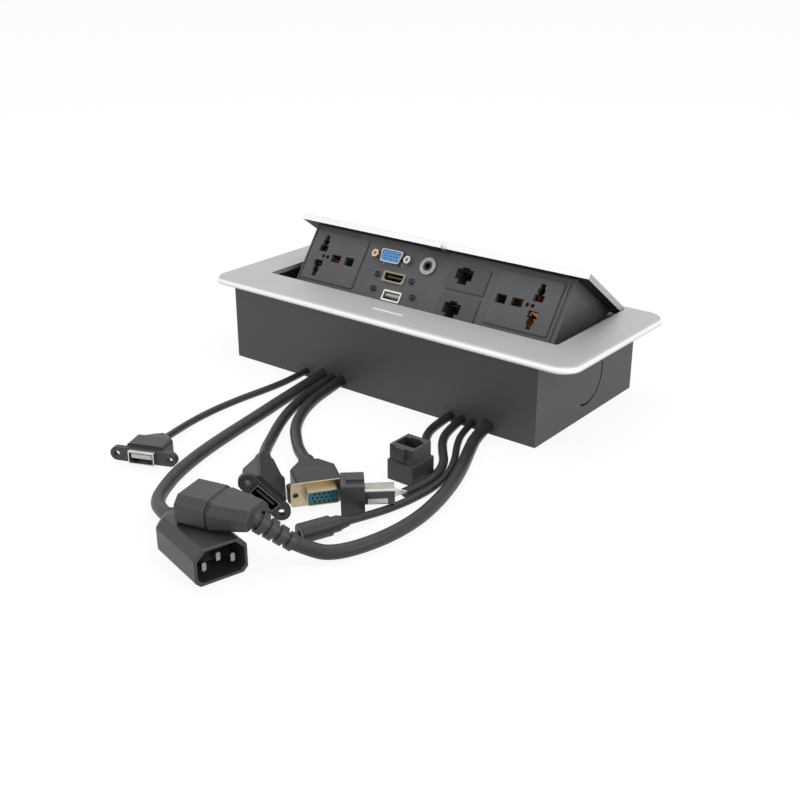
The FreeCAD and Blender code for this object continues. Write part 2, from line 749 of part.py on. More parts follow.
def tray_outline(inset):
    """Side view of the tray as its height in front and three points of its curved back."""
    bottom = panel_bottom + inset
    corner = V(0, panel_rear + tray_floor_depth, panel_bottom)
    belly = V(0, pivot.y - tray_belly[0], panel_bottom + tray_belly[1])
    rear = V(0, pivot.y - tray_rear_gap, lid_underside - tray_rear_drop)
    arc = Part.Arc(corner, belly, rear).toShape().Curve
    radius = arc.Radius - inset
    points = []
    for point in (corner, belly, rear):
        outward = (point - arc.Center).normalize()
        points.append(arc.Center + outward * radius)
    points[0] = V(0, points[0].y, bottom)
    return bottom, points


def cheek(x0):
    """Side plate of the tilting unit, with an ear round the hinge pin at its back."""
    bottom, curve = tray_outline(0.0)
    start = V(x0, panel_rear, lid_underside)
    front_low = V(x0, panel_rear, bottom)
    shift = V(x0, 0, 0)
    curve = [point + shift for point in curve]
    ear_low = polar(ear_radius, ear_low_polar, x0)
    ear_top = V(x0, pivot.y, pivot.z + ear_radius)
    last = V(x0, lid_rear, lid_underside)
    edges = [Part.makeLine(start, front_low),
             Part.makeLine(front_low, curve[0]),
             Part.Arc(curve[0], curve[1], curve[2]).toShape(),
             Part.makeLine(curve[2], ear_low),
             Part.makeLine(ear_low, ear_top),
             Part.makeLine(ear_top, last),
             Part.makeLine(last, start)]
    plate = Part.Face(Part.Wire(edges)).extrude(V(cheek_thickness, 0, 0))
    plate = plate.fuse(across(ear_radius, x0, x0 + cheek_thickness, pivot.y, pivot.z)).removeSplitter()
    return plate.cut(across(pin_radius + pin_clearance, x0 - 1, x0 + cheek_thickness + 1, pivot.y, pivot.z))


def tray_cover():
    """Bent sheet that closes the bottom and back of the tilting unit."""
    half = panel_half_length - cheek_thickness - tray_side_gap
    solids = []
    for inset in (0.0, tray_sheet):
        bottom, curve = tray_outline(inset)
        front = [V(0, panel_rear, z) for z in (bottom, curve[2].z)]
        edges = [Part.makeLine(front[0], curve[0]),
                 Part.Arc(curve[0], curve[1], curve[2]).toShape(),
                 Part.makeLine(curve[2], front[1]),
                 Part.makeLine(front[1], front[0])]
        solids.append(Part.Face(Part.Wire(edges)).extrude(V(2 * half, 0, 0)))
    above = block(-1, 2 * half + 1, panel_rear - 1, curve[2].y, curve[2].z - tray_top_trim,
                  lid_underside)
    sheet_metal = solids[0].cut([solids[1], above])
    sheet_metal.translate(V(-half, 0, 0))
    return sheet_metal


def biarc(start, start_way, end, end_way):
    """Two tangent arcs that join two points along given directions."""
    gap = end - start
    ways = start_way + end_way
    a = ways.dot(ways) - 4
    b = -2 * gap.dot(ways)
    c = gap.dot(gap)
    reach = (-b - math.sqrt(b * b - 4 * a * c)) / (2 * a)
    first_corner = start + start_way * reach
    last_corner = end - end_way * reach
    join = (first_corner + last_corner) * 0.5
    arcs = []
    for left, corner, right in ((start, first_corner, join), (join, last_corner, end)):
        chord = (left + right) * 0.5
        height = (chord - corner).Length
        radius = reach * (left - chord).Length / height
        middle = corner + (chord - corner).normalize() * (math.hypot(reach, radius) - radius)
        arcs.append(Part.Arc(left, middle, right).toShape())
    return arcs


def torsion_spring():
    """Right-hand lifting spring: close turns round the pin, one leg forward and one down."""
    def helix(quarter):
        angle = math.radians(90 - 90 * quarter)
        x = panel_half_length - cheek_thickness - spring_end_gap - spring_pitch * quarter / 4
        point = V(x, pivot.y + spring_mean_radius * math.cos(angle),
                  pivot.z + spring_mean_radius * math.sin(angle))
        way = V(-spring_pitch / 4, spring_mean_radius * math.sin(angle) * math.pi / 2,
                -spring_mean_radius * math.cos(angle) * math.pi / 2)
        return point, way.normalize()
    first, first_way = helix(0)
    last, last_way = helix(spring_quarters)
    edges = [Part.makeLine(first - first_way * spring_leg, first)]
    for quarter in range(spring_quarters):
        start, start_way = helix(quarter)
        end, end_way = helix(quarter + 1)
        edges += biarc(start, start_way, end, end_way)
    edges.append(Part.makeLine(last, last + last_way * spring_leg))
    path = Part.Wire(edges)
    profile = Part.Wire(Part.makeCircle(spring_wire / 2, first - first_way * spring_leg, first_way))
    return path.makePipeShell([profile], True, False)


def socket_point(centre_x, side, along, height):
    """Place on a power socket: along runs from the panel's middle towards the line pins."""
    shift, lift = socket_pattern_shift[side]
    return centre_x + side * along + shift, panel_bottom + socket_height + height + lift


def socket_cutter(centre_x, side, along, height, width, rise, y0, y1):
    """Rectangular hole through a power socket."""
    x, z = socket_point(centre_x, side, along, height)
    return block(x - width / 2, x + width / 2, y0, y1, z - rise / 2, z + rise / 2)


def socket_face(centre_x, side):
    """Moulded face of a universal power socket with its keyholes and earth holes."""
    x = centre_x
    z = panel_bottom + socket_height
    half = socket_size[0] / 2
    rise = socket_size[1] / 2
    front = panel_front - bezel_proud
    face = rounded_block(x - half, x + half, front, panel_front, z - rise, z + rise, moulding_corner,
                         Y_AXIS)
    neck = block(x - half + socket_step, x + half - socket_step, panel_front, panel_rear,
                 z - rise + socket_step, z + rise - socket_step)
    face = face.fuse(neck)
    cutters = []
    y0 = front - 1
    y1 = panel_rear + 1
    for sign in (-1, 1):
        for height, width, rise in line_keyhole_parts:
            cutters.append(socket_cutter(centre_x, side, line_keyhole_along, sign * height, width, rise,
                                         y0, y1))
        round_x, round_z = socket_point(centre_x, side, line_keyhole_along, sign * line_round_height)
        cutters.append(Part.makeCylinder(line_round_radius, y1 - y0, V(round_x, y0, round_z), Y_AXIS))
    for along in pilot_holes:
        hole_x, hole_z = socket_point(centre_x, side, along, 0)
        cutters.append(Part.makeCylinder(pilot_radius, y1 - y0, V(hole_x, y0, hole_z), Y_AXIS))
    for along, width, rise in earth_holes:
        cutters.append(socket_cutter(centre_x, side, along, 0, width, rise, y0, y1))
    return face.cut(cutters)


def socket_body(centre_x):
    """Box behind a power socket's face that holds the contacts."""
    x = centre_x
    z = panel_bottom + socket_height
    half = socket_size[0] / 2 - socket_step
    rise = socket_size[1] / 2 - socket_step
    outer = block(x - half, x + half, panel_rear, panel_rear + socket_depth, z - rise, z + rise)
    room = block(x - half + socket_wall, x + half - socket_wall, panel_rear - 1,
                 panel_rear + socket_depth - socket_wall, z - rise + socket_wall, z + rise - socket_wall)
    return outer.cut(room)


def channel(centre_x, side, along, height, width, rise, sides):
    """U-shaped contact: a base on the body's back wall and two leaves towards the face."""
    x, z = socket_point(centre_x, side, along, height)
    back = panel_rear + socket_depth - socket_wall
    front = panel_rear + contact_setback
    outer = block(x - width / 2 - contact_sheet, x + width / 2 + contact_sheet, front, back,
                  z - rise / 2, z + rise / 2)
    inner = block(x - width / 2, x + width / 2, front - 1, back - contact_sheet, z - rise, z + rise)
    if sides == "above":
        outer = block(x - width / 2, x + width / 2, front, back, z - rise / 2 - contact_sheet,
                      z + rise / 2 + contact_sheet)
        inner = block(x - width, x + width, front - 1, back - contact_sheet, z - rise / 2, z + rise / 2)
    return outer.cut(inner)


def socket_contacts(centre_x, side):
    """Live, neutral and earth contacts of one power socket."""
    contacts = []
    room_half, room_rise = [size / 2 - socket_step - socket_wall for size in socket_size]
    line_end = room_rise - line_contact_wall_gap
    height = (line_contact_start + line_end) / 2
    rise = line_end - line_contact_start
    for sign in (-1, 1):
        contacts.append(channel(centre_x, side, line_keyhole_along, sign * height, line_contact_width, rise,
                                "beside"))
    earth_end = room_half - earth_contact_wall_gap
    along = (earth_contact_start - earth_end) / 2
    width = earth_end + earth_contact_start
    contacts.append(channel(centre_x, side, along, 0, width, earth_contact_rise, "above"))
    return contacts


def d_outline(width, height, y, x, z):
    """D-shaped outline in the panel's plane, narrower below, as a closed wire."""
    half = width / 2
    rise = height / 2
    draw = height * math.tan(math.radians(vga_draw_angle))
    points = [V(x - half, y, z + rise), V(x + half, y, z + rise), V(x + half - draw, y, z - rise),
              V(x - half + draw, y, z - rise)]
    return Part.makePolygon(points + [points[0]])


def d_block(width, height, x, z, y0, y1):
    """D-shaped block along Y with rounded long edges."""
    solid = Part.Face(d_outline(width, height, y0, x, z)).extrude(V(0, y1 - y0, 0))
    long_edges = []
    for edge in solid.Edges:
        run = edge.Vertexes[1].Point - edge.Vertexes[0].Point
        if run.cross(Y_AXIS).Length < 1e-6:
            long_edges.append(edge)
    return solid.makeFillet(vga_corner, long_edges)


def vga_shell():
    """Metal shell of the fifteen-way video socket, its plate behind the panel."""
    x = vga_place[0]
    z = panel_bottom + vga_place[1]
    front = panel_front - vga_reach
    back = panel_rear + vga_plate_thickness
    plate = rounded_block(x - vga_plate[0] / 2, x + vga_plate[0] / 2, panel_rear, back,
                          z - vga_plate[1] / 2, z + vga_plate[1] / 2, vga_corner, Y_AXIS)
    width, height = vga_shell_size
    tube = d_block(width, height, x, z, front, panel_rear + vga_depth)
    shell = plate.fuse(tube)
    return shell.cut(d_block(width - 2 * port_wall, height - 2 * port_wall, x, z, front - 1,
                             panel_rear + vga_depth + 1))


def pin_rows(x, z, rows, spacing, drop):
    """Places of the contact holes in rows of five, the middle row shifted."""
    places = []
    for row in range(rows):
        shift = spacing / 2 if row == 1 else 0.0
        for column in range(5):
            places.append((x + (column - 2) * spacing - shift + spacing / 4, z + (1 - row) * drop))
    return places


def vga_insert():
    """Blue plastic insert with its fifteen contact holes."""
    x = vga_place[0]
    z = panel_bottom + vga_place[1]
    width = vga_shell_size[0] - 2 * port_wall - 2 * fit_gap
    height = vga_shell_size[1] - 2 * port_wall - 2 * fit_gap
    front = panel_front - vga_reach + port_wall
    insert = d_block(width, height, x, z, front, panel_rear + vga_depth + 1)
    holes = [Part.makeCylinder(vga_hole_radius, vga_hole_depth + 1, V(px, front - 1, pz), Y_AXIS)
             for px, pz in pin_rows(x, z, 3, *vga_pitch)]
    return insert.cut(holes)


def vga_standoffs():
    """Hexagonal threaded posts on both sides of the video socket."""
    posts = []
    z = panel_bottom + vga_place[1]
    front = panel_front - post_length
    for sign in (-1, 1):
        x = vga_place[0] + sign * vga_screw_spacing / 2
        corners = []
        for count in range(6):
            angle = math.radians(60 * count)
            corners.append(V(x + post_radius * math.cos(angle), front, z + post_radius * math.sin(angle)))
        post = extruded(corners, V(0, post_length, 0))
        posts.append(post.cut(Part.makeCylinder(post_bore, post_length - 1, V(x, front, z), Y_AXIS)))
    return posts


def panel_port(place, rim, size, depth, corner):
    """Sheet-metal socket: a rim on the panel and a tube behind it, drawn in at its lower corners."""
    x = place[0]
    z = panel_bottom + place[1]
    front = panel_front - bezel_proud
    plate = rounded_block(x - rim[0] / 2, x + rim[0] / 2, front, panel_front, z - rim[1] / 2,
                          z + rim[1] / 2, moulding_corner, Y_AXIS)
    solids = []
    for width, height, y0, y1 in ((size[0], size[1], front, panel_front + depth),
                                  (size[0] - 2 * port_wall, size[1] - 2 * port_wall, front - 1,
                                   panel_front + depth + 1)):
        half = width / 2
        rise = height / 2
        outline = [V(x - half, y0, z + rise), V(x + half, y0, z + rise), V(x + half, y0, z - rise + corner),
                   V(x + half - corner, y0, z - rise), V(x - half + corner, y0, z - rise),
                   V(x - half, y0, z - rise + corner)]
        solids.append(extruded(outline, V(0, y1 - y0, 0)))
    return plate.fuse(solids[0]).cut(solids[1])


def port_tongue(place, size, depth, tongue):
    """Plastic tongue inside a metal socket, with the block that closes the tube's back."""
    x = place[0]
    z = panel_bottom + place[1]
    width, height, shift = tongue
    half = size[0] / 2 - port_wall
    rise = size[1] / 2 - port_wall
    back = panel_front + depth
    stop_length, inset = port_stop
    block_front = back - stop_length
    stop = block(x - half + inset, x + half - inset, block_front, back, z - rise, z + rise)
    blade = block(x - width / 2, x + width / 2, panel_front + port_tongue_setback, block_front,
                  z + shift - height / 2, z + shift + height / 2)
    return stop.fuse(blade)


def audio_jack():
    """Sound socket: a round nut on the panel, a threaded neck and a body behind."""
    x = audio_place[0]
    z = panel_bottom + audio_place[1]
    half = audio_body[0] / 2
    front = panel_front - audio_nut_height
    nut = Part.makeCylinder(audio_ring_radius, audio_nut_height, V(x, front, z), Y_AXIS)
    neck = Part.makeCylinder(audio_thread_radius, panel_thickness + audio_nut_height, V(x, front, z), Y_AXIS)
    body = rounded_block(x - half, x + half, panel_rear, panel_rear + audio_body[1], z - half, z + half,
                         moulding_corner, Y_AXIS)
    bore = Part.makeCylinder(audio_bore_radius, audio_body[1], V(x, front - 1, z), Y_AXIS)
    return nut.fuse([neck, body]).cut(bore)


def network_jack(which):
    """Data socket: a plate that clips into the panel and a body with the plug's cavity."""
    x = network_x
    z = panel_bottom + network_heights[which]
    front = panel_front - bezel_proud
    plate = rounded_block(x - network_plate[0] / 2, x + network_plate[0] / 2, front, panel_front,
                          z - network_plate[1] / 2, z + network_plate[1] / 2, moulding_corner, Y_AXIS)
    body = block(x - network_body[0] / 2, x + network_body[0] / 2, panel_front, panel_front + network_depth,
                 z - network_body[1] / 2, z + network_body[1] / 2)
    jack = plate.fuse(body)
    mouth_x, mouth_z = network_mouth_centre(which)
    half = network_mouth[0] / 2
    rise = network_mouth[1] / 2
    jack = jack.cut(block(mouth_x - half, mouth_x + half, front - 1, panel_front + network_mouth_depth,
                          mouth_z - rise, mouth_z + rise))
    latch = block(mouth_x - network_latch[0] / 2, mouth_x + network_latch[0] / 2, front - 1,
                  panel_front + network_mouth_depth, mouth_z - rise - network_latch[1], mouth_z - rise)
    crown = block(mouth_x - network_crown[0] / 2, mouth_x + network_crown[0] / 2, front - 1,
                  panel_front + network_mouth_depth, mouth_z + rise, mouth_z + rise + network_crown[1])
    return jack.cut([latch, crown])


def network_mouth_centre(which):
    """Centre of a data socket's cavity in the panel's plane."""
    shift, lift = network_mouth_shift[which]
    return network_x + shift, panel_bottom + network_heights[which] + lift


def network_contacts():
    """Eight sprung wires under the upper side of each data socket's cavity."""
    wires = []
    for which in network_heights:
        mouth_x, mouth_z = network_mouth_centre(which)
        ceiling = mouth_z + network_mouth[1] / 2 - fit_gap
        back = panel_front + network_mouth_depth
        for count in range(8):
            x = mouth_x + (count - 3.5) * contact_pitch - contact_wire / 2
            outline = [V(x, back, ceiling), V(x, back - wire_run, ceiling),
                       V(x, back - wire_end_run, ceiling - wire_drop), V(x, back, ceiling - wire_drop)]
            wires.append(extruded(outline, V(contact_wire, 0, 0)))
    return wires


def panel_screws():
    """Small screws beside the two metal data ports."""
    screws = []
    for x, height in port_screws:
        base = V(x, panel_front, panel_bottom + height)
        head = Part.makeCylinder(port_screw_radius, port_screw_height, base, Y_AXIS * -1)
        head = head.fuse(Part.makeCylinder(port_screw_shank, panel_thickness, base, Y_AXIS))
        width, depth = port_screw_slot
        face = panel_front - port_screw_height
        slot = block(x - port_screw_radius - 1, x + port_screw_radius + 1, face - 1, face + depth,
                     base.z - width / 2, base.z + width / 2)
        screws.append(head.cut(slot))
    return screws


def magnet_catch():
    """Two magnets on the box floor that hold the shut unit by its steel tray."""
    return [Part.makeCylinder(magnet_radius, magnet_height, V(x, y, sheet), Z_AXIS)
            for x, y in magnet_places]


def cord(name):
    """Round lead: straight runs joined by tangent arcs as large as the runs allow."""
    radius, route = cord_routes[name]
    points = [V(x, y + lead_plane, z) for x, y, z in route]
    edges = []
    smallest = 1e9
    end = points[0]
    for before, corner, after in zip(points, points[1:], points[2:]):
        run_in = corner - before
        run_out = after - corner
        turn = run_in.getAngle(run_out)
        reach = bend_share * min(run_in.Length, run_out.Length)
        bend = reach / math.tan(turn / 2)
        smallest = min(smallest, bend)
        way_in = run_in.normalize()
        way_out = run_out.normalize()
        start = corner - way_in * reach
        stop = corner + way_out * reach
        inward = (way_out - way_in).normalize()
        middle = corner + inward * (bend / math.cos(turn / 2) - bend)
        edges.append(Part.makeLine(end, start))
        edges.append(Part.Arc(start, middle, stop).toShape())
        end = stop
    edges.append(Part.makeLine(end, points[-1]))
    path = Part.Wire(edges)
    first_way = points[1] - points[0]
    profile = Part.Wire(Part.makeCircle(radius, points[0], first_way))
    tube = path.makePipeShell([profile], True, False)
    share = tube.Volume / (math.pi * radius ** 2 * path.Length)
    lowest = tube.optimalBoundingBox().ZMin
    print("%s length %.1f smallest radius %.1f volume share %.4f lowest %.2f"
          % (name, path.Length, smallest, share, lowest))
    return tube


def eared_plate(length, spacing, ear, hole):
    """Mounting plate with round ends and a screw hole in each ear, its face at X = 0."""
    bar = block(-length, 0, -spacing / 2, spacing / 2, -ear, ear)
    ends = []
    holes = []
    for sign in (-1, 1):
        centre = V(-length, sign * spacing / 2, 0)
        ends.append(Part.makeCylinder(ear, length, centre, X_AXIS))
        holes.append(Part.makeCylinder(hole, length + 2, centre - X_AXIS, X_AXIS))
    return bar.fuse(ends).removeSplitter().cut(holes)


def lead_port(plate_size, mould, shell_size, tongue):
    """Lead-end socket with ears: the moulded body that tapers to the lead, and its metal tube."""
    plate_length, spacing, ear, hole = plate_size
    width, height, straight, collar_radius, length = mould
    shell_width, shell_height, depth, reach = shell_size
    tongue_width, tongue_height, rise = tongue
    trunk = rounded_block(-straight, -plate_length, -width / 2, width / 2, -height / 2, height / 2,
                          mould_round, X_AXIS)
    taper = frustum(-straight, width - mould_round, height - mould_round, -length,
                    mould_end_share * collar_radius, mould_end_share * collar_radius)
    collar = Part.makeCylinder(collar_radius, length - straight, V(-length, 0, 0), X_AXIS)
    body = eared_plate(plate_length, spacing, ear, hole).fuse([trunk, taper, collar])
    half = shell_width / 2
    half_rise = shell_height / 2
    body = body.cut(block(-depth, 1, -half, half, -half_rise, half_rise))
    body = body.fuse(block(-depth - port_tongue_root, reach - port_tongue_tip_gap, -tongue_width / 2,
                           tongue_width / 2, rise - tongue_height / 2, rise + tongue_height / 2))
    shell = block(-depth, reach, -half, half, -half_rise, half_rise)
    shell = shell.cut(block(-depth - 1, reach + 1, -half + port_wall, half - port_wall,
                            -half_rise + port_wall, half_rise - port_wall))
    return body, shell


def vga_port():
    """Lead-end video socket: moulded body, plate with its shell, and its insert."""
    width, height, length = vga_port_body_size
    plate_width, plate_height, plate_length = vga_port_plate
    ear_width, ear_height, ear_length = vga_port_ear
    tube_width, tube_height, tube_reach, tube_back = vga_port_tube
    collar_radius, collar_end, collar_length = vga_port_collar
    taper_end, taper_width, taper_height = vga_port_taper
    back = length + plate_length
    screw_y = vga_screw_spacing / 2
    body = rounded_block(-back, -plate_length, -width / 2, width / 2, -height / 2, height / 2,
                         mould_round, X_AXIS)
    pieces = [frustum(-back, width - vga_port_step, height - vga_port_step,
                      -taper_end, taper_width, taper_height),
              Part.makeCylinder(collar_radius, collar_length, V(-collar_end, 0, 0), X_AXIS)]
    holes = []
    for sign in (-1, 1):
        pieces.append(rounded_block(-plate_length - ear_length, -plate_length,
                                    sign * screw_y - ear_width / 2, sign * screw_y + ear_width / 2,
                                    -ear_height / 2, ear_height / 2, vga_port_ear_round, X_AXIS))
        deep_end = V(-ear_length - vga_port_screw_depth, sign * screw_y, 0)
        holes.append(Part.makeCylinder(vga_port_screw_radius, back, deep_end, X_AXIS))
    pocket = rounded_block(-tube_back - vga_port_room, 0, -tube_width / 2, tube_width / 2, -tube_height / 2,
                           tube_height / 2, vga_corner, X_AXIS)
    body = body.fuse(pieces).cut(holes + [pocket])
    plate = rounded_block(-plate_length, 0, -plate_width / 2, plate_width / 2, -plate_height / 2,
                          plate_height / 2, vga_corner, X_AXIS)
    tube = rounded_block(-tube_back, tube_reach, -tube_width / 2, tube_width / 2, -tube_height / 2,
                         tube_height / 2, vga_corner, X_AXIS)
    inner_width = tube_width - 2 * port_wall
    inner_height = tube_height - 2 * port_wall
    shell = plate.fuse(tube)
    shell = shell.cut([rounded_block(-tube_back - 1, tube_reach + 1, -inner_width / 2, inner_width / 2,
                                     -inner_height / 2, inner_height / 2, vga_corner - port_wall / 2,
                                     X_AXIS)] + holes)
    half = inner_width / 2 - fit_gap
    rise = inner_height / 2 - fit_gap
    insert = rounded_block(-tube_back - vga_port_room + vga_port_insert_gap, tube_reach - port_wall,
                           -half, half, -rise, rise, vga_corner - port_wall / 2, X_AXIS)
    contact_holes = []
    for y, z in pin_rows(0, 0, 3, *vga_pitch):
        deep_end = V(tube_reach - vga_hole_depth, y, z)
        contact_holes.append(Part.makeCylinder(vga_hole_radius, vga_hole_depth + 1, deep_end, X_AXIS))
    return body, shell, insert.cut(contact_holes)


def mains_plug():
    """Mains inlet plug on the lead: a bevelled shroud, open in front, with three blades inside."""
    width, height, length = plug_size
    tail_end, tail_width, tail_height = plug_tail
    collar_radius, collar_end, collar_length = plug_collar
    section = (width, -height / 2, height / 2, plug_bevels)
    tail = (tail_width, -tail_height / 2, tail_height / 2, plug_bevels)
    body = bevelled_block(0, section, -length, section)
    body = body.fuse([bevelled_block(-length, section, -tail_end, tail),
                      Part.makeCylinder(collar_radius, collar_length, V(-collar_end, 0, 0), X_AXIS)])
    mouth = (width - 2 * plug_wall, -height / 2 + plug_wall, height / 2 - plug_wall, plug_bevels)
    body = body.cut(bevelled_block(-plug_cavity_depth, mouth, 1, mouth))
    blades = []
    across_blade, tall = blade_size
    for y, z in blade_places:
        blades.append(rounded_block(-plug_cavity_depth, -blade_setback, y - across_blade / 2,
                                    y + across_blade / 2, z - tall / 2, z + tall / 2, blade_round, X_AXIS))
    return body, blades


def mains_connector():
    """Mains outlet connector: a bevelled nose with three slots, a groove and a sloping grip."""
    width, height, length = nose_size
    nose = (width, 0, height, nose_bevels)
    neck = (width - 2 * groove_depth, groove_depth, height - groove_depth, nose_bevels)
    grip_front = (grip_start[0], 0, grip_start[1], nose_bevels)
    grip_rear = (grip_end[0], grip_start[1] - grip_end[1], grip_start[1] - grip_fall, nose_bevels)
    grip_from = -length - groove_width
    connector = bevelled_block(-length, nose, 0, nose)
    connector = connector.fuse([bevelled_block(grip_from, neck, -length, neck),
                                bevelled_block(grip_from - grip_length, grip_rear, grip_from, grip_front)])
    slot_width, slot_height, slot_depth = slot_size
    slots = [block(-slot_depth, 1, y - slot_width / 2, y + slot_width / 2, z - slot_height / 2,
                   z + slot_height / 2) for y, z in slot_places]
    return connector.cut(slots)


def mains_connector_boot():
    """Ribbed strain relief behind the outlet connector, pointing down to the desk."""
    start = V(*boot_start) + V(0, lead_plane, 0)
    end = V(*boot_end) + V(0, lead_plane, 0)
    length = (end - start).Length
    big, small = boot_radii
    step = length / (boot_ring_share * (boot_grooves + 1) + boot_grooves)
    profile = [V(0, 0, 0)]
    along = 0.0
    for count in range(2 * boot_grooves + 1):
        radius = big + (small - big) * count / (2 * boot_grooves)
        run = step * boot_ring_share
        if count % 2:
            radius -= boot_groove_depth
            run = step
        profile.append(V(radius, 0, along))
        along += run
        profile.append(V(radius, 0, along))
    profile.append(V(0, 0, along))
    face = Part.Face(Part.makePolygon(profile + [profile[0]]))
    boot = face.revolve(V(0, 0, 0), Z_AXIS, 360)
    boot.Placement = FreeCAD.Placement(start, FreeCAD.Rotation(Z_AXIS, end - start))
    return boot


def keystone_a():
    """Snap-in data jack standing on the desk, its plug cavity facing up."""
    x = keystone_a_at[0]
    y = keystone_a_at[1] + lead_plane
    width, depth, height = jack_base
    head_width, head_depth, top = jack_head
    latch_width, latch_depth, latch_foot = jack_latch
    rear = y - depth / 2 + head_depth + jack_head_shift
    base = rounded_block(x - width / 2, x + width / 2, y - depth / 2, y + depth / 2, 0, height,
                         moulding_corner, Z_AXIS)
    head = block(x - head_width / 2, x + head_width / 2, rear - head_depth, rear, height, top)
    latch = block(x - latch_width / 2, x + latch_width / 2, rear - head_depth - latch_depth,
                  rear - head_depth, latch_foot, top)
    jack = base.fuse([head, latch]).removeSplitter()
    mouth_y = y - jack_wall_offset
    cavity = block(x - jack_mouth[0] / 2, x + jack_mouth[0] / 2, mouth_y - jack_mouth[1] / 2,
                   mouth_y + jack_mouth[1] / 2, jack_cavity_floor, top + 1)
    notch = block(x - jack_notch[0] / 2, x + jack_notch[0] / 2, mouth_y + jack_mouth[1] / 2,
                  mouth_y + jack_mouth[1] / 2 + jack_notch[1], jack_cavity_floor, top + 1)
    return jack.cut([cavity, notch])


def keystone_b():
    """Snap-in data jack lying on the desk: the front block and the bare metal barrel behind it."""
    start, end, width, height = jack_front
    clip_length, clip_width, clip_rise = jack_clip
    front = rounded_block(start, end, -width / 2, width / 2, -height / 2, height / 2, moulding_corner,
                          X_AXIS)
    cavity = block(jack_cavity_start, end + 1, -jack_mouth[0] / 2, jack_mouth[0] / 2,
                   -jack_mouth[1] / 2, jack_mouth[1] / 2)
    clip = block(start, start + clip_length, -clip_width / 2, clip_width / 2, height / 2,
                 height / 2 + clip_rise)
    barrel = rounded_block(0, start, -barrel_size[0] / 2, barrel_size[0] / 2, -barrel_size[1] / 2,
                           barrel_size[1] / 2, barrel_round, X_AXIS)
    return front.fuse(clip).cut(cavity), barrel


def network_pairs():
    """Four bare wires from the second data lead to its jack."""
    end = V(*cord_routes["cord_network_b"][1][-1]) + V(0, lead_plane, 0)
    jack = V(*keystone_b_at[:3]) + V(0, lead_plane, 0)
    heading = math.radians(keystone_b_at[3])
    inward = V(math.cos(heading), math.sin(heading), 0)
    beside = inward.cross(Z_AXIS)
    wires = []
    for shift, rise in pair_places:
        start = end + V(shift, pair_grip[0], rise / 2)
        stop = jack + inward * pair_grip[1] + beside * shift * pair_spread + V(0, 0, rise)
        wires.append(rod(pair_radius, start, stop))
    return wires


def audio_socket():
    """Lead-end sound socket: a slim body with a bore and a stepped tail."""
    start = 0.0
    steps = []
    for radius, end in audio_steps:
        steps.append(Part.makeCylinder(radius, end - start, V(-end, 0, 0), X_AXIS))
        start = end
    tail_radius, tail_root, tail_end = audio_tail
    tail = Part.makeCone(tail_radius, tail_root, tail_end - start, V(-tail_end, 0, 0), X_AXIS)
    bore = Part.makeCylinder(audio_bore_radius, audio_socket_bore + 1, V(-audio_socket_bore, 0, 0), X_AXIS)
    return steps[0].fuse(steps[1:] + [tail]).cut(bore)


os.makedirs("parts", exist_ok=True)

# What is fixed to the desk
save("flange_frame", flange_frame())
save("box_shell", box_shell())
save("fixing_screws", fixing_screws())
save("cable_grommet_left", grommet(left_notch))
save("cable_grommet_right", grommet(right_notch))
right_bracket, left_bracket = mirrored_pair(hinge_bracket())
save("hinge_bracket_right", right_bracket)
save("hinge_bracket_left", left_bracket)
save("hinge_pins", mirrored_pair(hinge_pin()))
save("dampers", mirrored_pair(damper()))
save("magnet_catch", magnet_catch())

# The tilting unit, turned open
save("lid_plate", opened(lid_plate()))
save("finger_tab", opened(finger_tab()))
save("panel_plate", opened(panel_plate()))
save("cheek_right", opened(cheek(panel_half_length - cheek_thickness)))
save("cheek_left", opened(cheek(-panel_half_length)))
save("tray_cover", opened(tray_cover()))
save("gear_sectors", [opened(sector) for sector in mirrored_pair(gear_sector())])
save("torsion_springs", [opened(spring) for spring in mirrored_pair(torsion_spring())])
for name, centre_x, side in (("left", left_socket_x, -1), ("right", right_socket_x, 1)):
    save("socket_%s_face" % name, opened(socket_face(centre_x, side)))
    save("socket_%s_body" % name, opened(socket_body(centre_x)))
    save("socket_%s_contacts" % name, [opened(piece) for piece in socket_contacts(centre_x, side)])
save("vga_shell", opened(vga_shell()))
save("vga_insert", opened(vga_insert()))
save("vga_standoffs", [opened(post) for post in vga_standoffs()])
save("hdmi_shell", opened(panel_port(hdmi_place, hdmi_rim, hdmi_shell_size, hdmi_depth,
                                      hdmi_drawn_corner)))
save("usb_shell", opened(panel_port(usb_place, usb_rim, usb_shell_size, usb_depth, usb_drawn_corner)))
save("port_tongues", [opened(port_tongue(hdmi_place, hdmi_shell_size, hdmi_depth, hdmi_tongue)),
                      opened(port_tongue(usb_place, usb_shell_size, usb_depth, usb_tongue))])
save("audio_jack", opened(audio_jack()))
save("network_jack_upper", opened(network_jack("upper")))
save("network_jack_lower", opened(network_jack("lower")))
save("network_contacts", [opened(wire) for wire in network_contacts()])
save("panel_screws", [opened(piece) for piece in panel_screws()])
save("damper_pinions", mirrored_pair(damper_pinion()))

# The leads and what they end in
for lead in cord_routes:
    save(lead, cord(lead))
usb_body, usb_metal = lead_port(usb_port_plate, usb_port_mould, usb_port_shell_size, usb_port_tongue)
save("usb_port_body", placed(usb_body, usb_port_at))
save("usb_port_shell", placed(usb_metal, usb_port_at))
hdmi_body, hdmi_metal = lead_port(hdmi_port_plate, hdmi_port_mould, hdmi_port_shell_size,
                                   hdmi_port_tongue)
save("hdmi_port_body", placed(hdmi_body, hdmi_port_at, hdmi_port_roll))
save("hdmi_port_shell", placed(hdmi_metal, hdmi_port_at, hdmi_port_roll))
vga_body, vga_metal, vga_core = vga_port()
save("vga_port_body", placed(vga_body, vga_port_at))
save("vga_port_shell", placed(vga_metal, vga_port_at))
save("vga_port_insert", placed(vga_core, vga_port_at))
plug_body, plug_blades = mains_plug()
save("mains_plug_body", placed(plug_body, mains_plug_at))
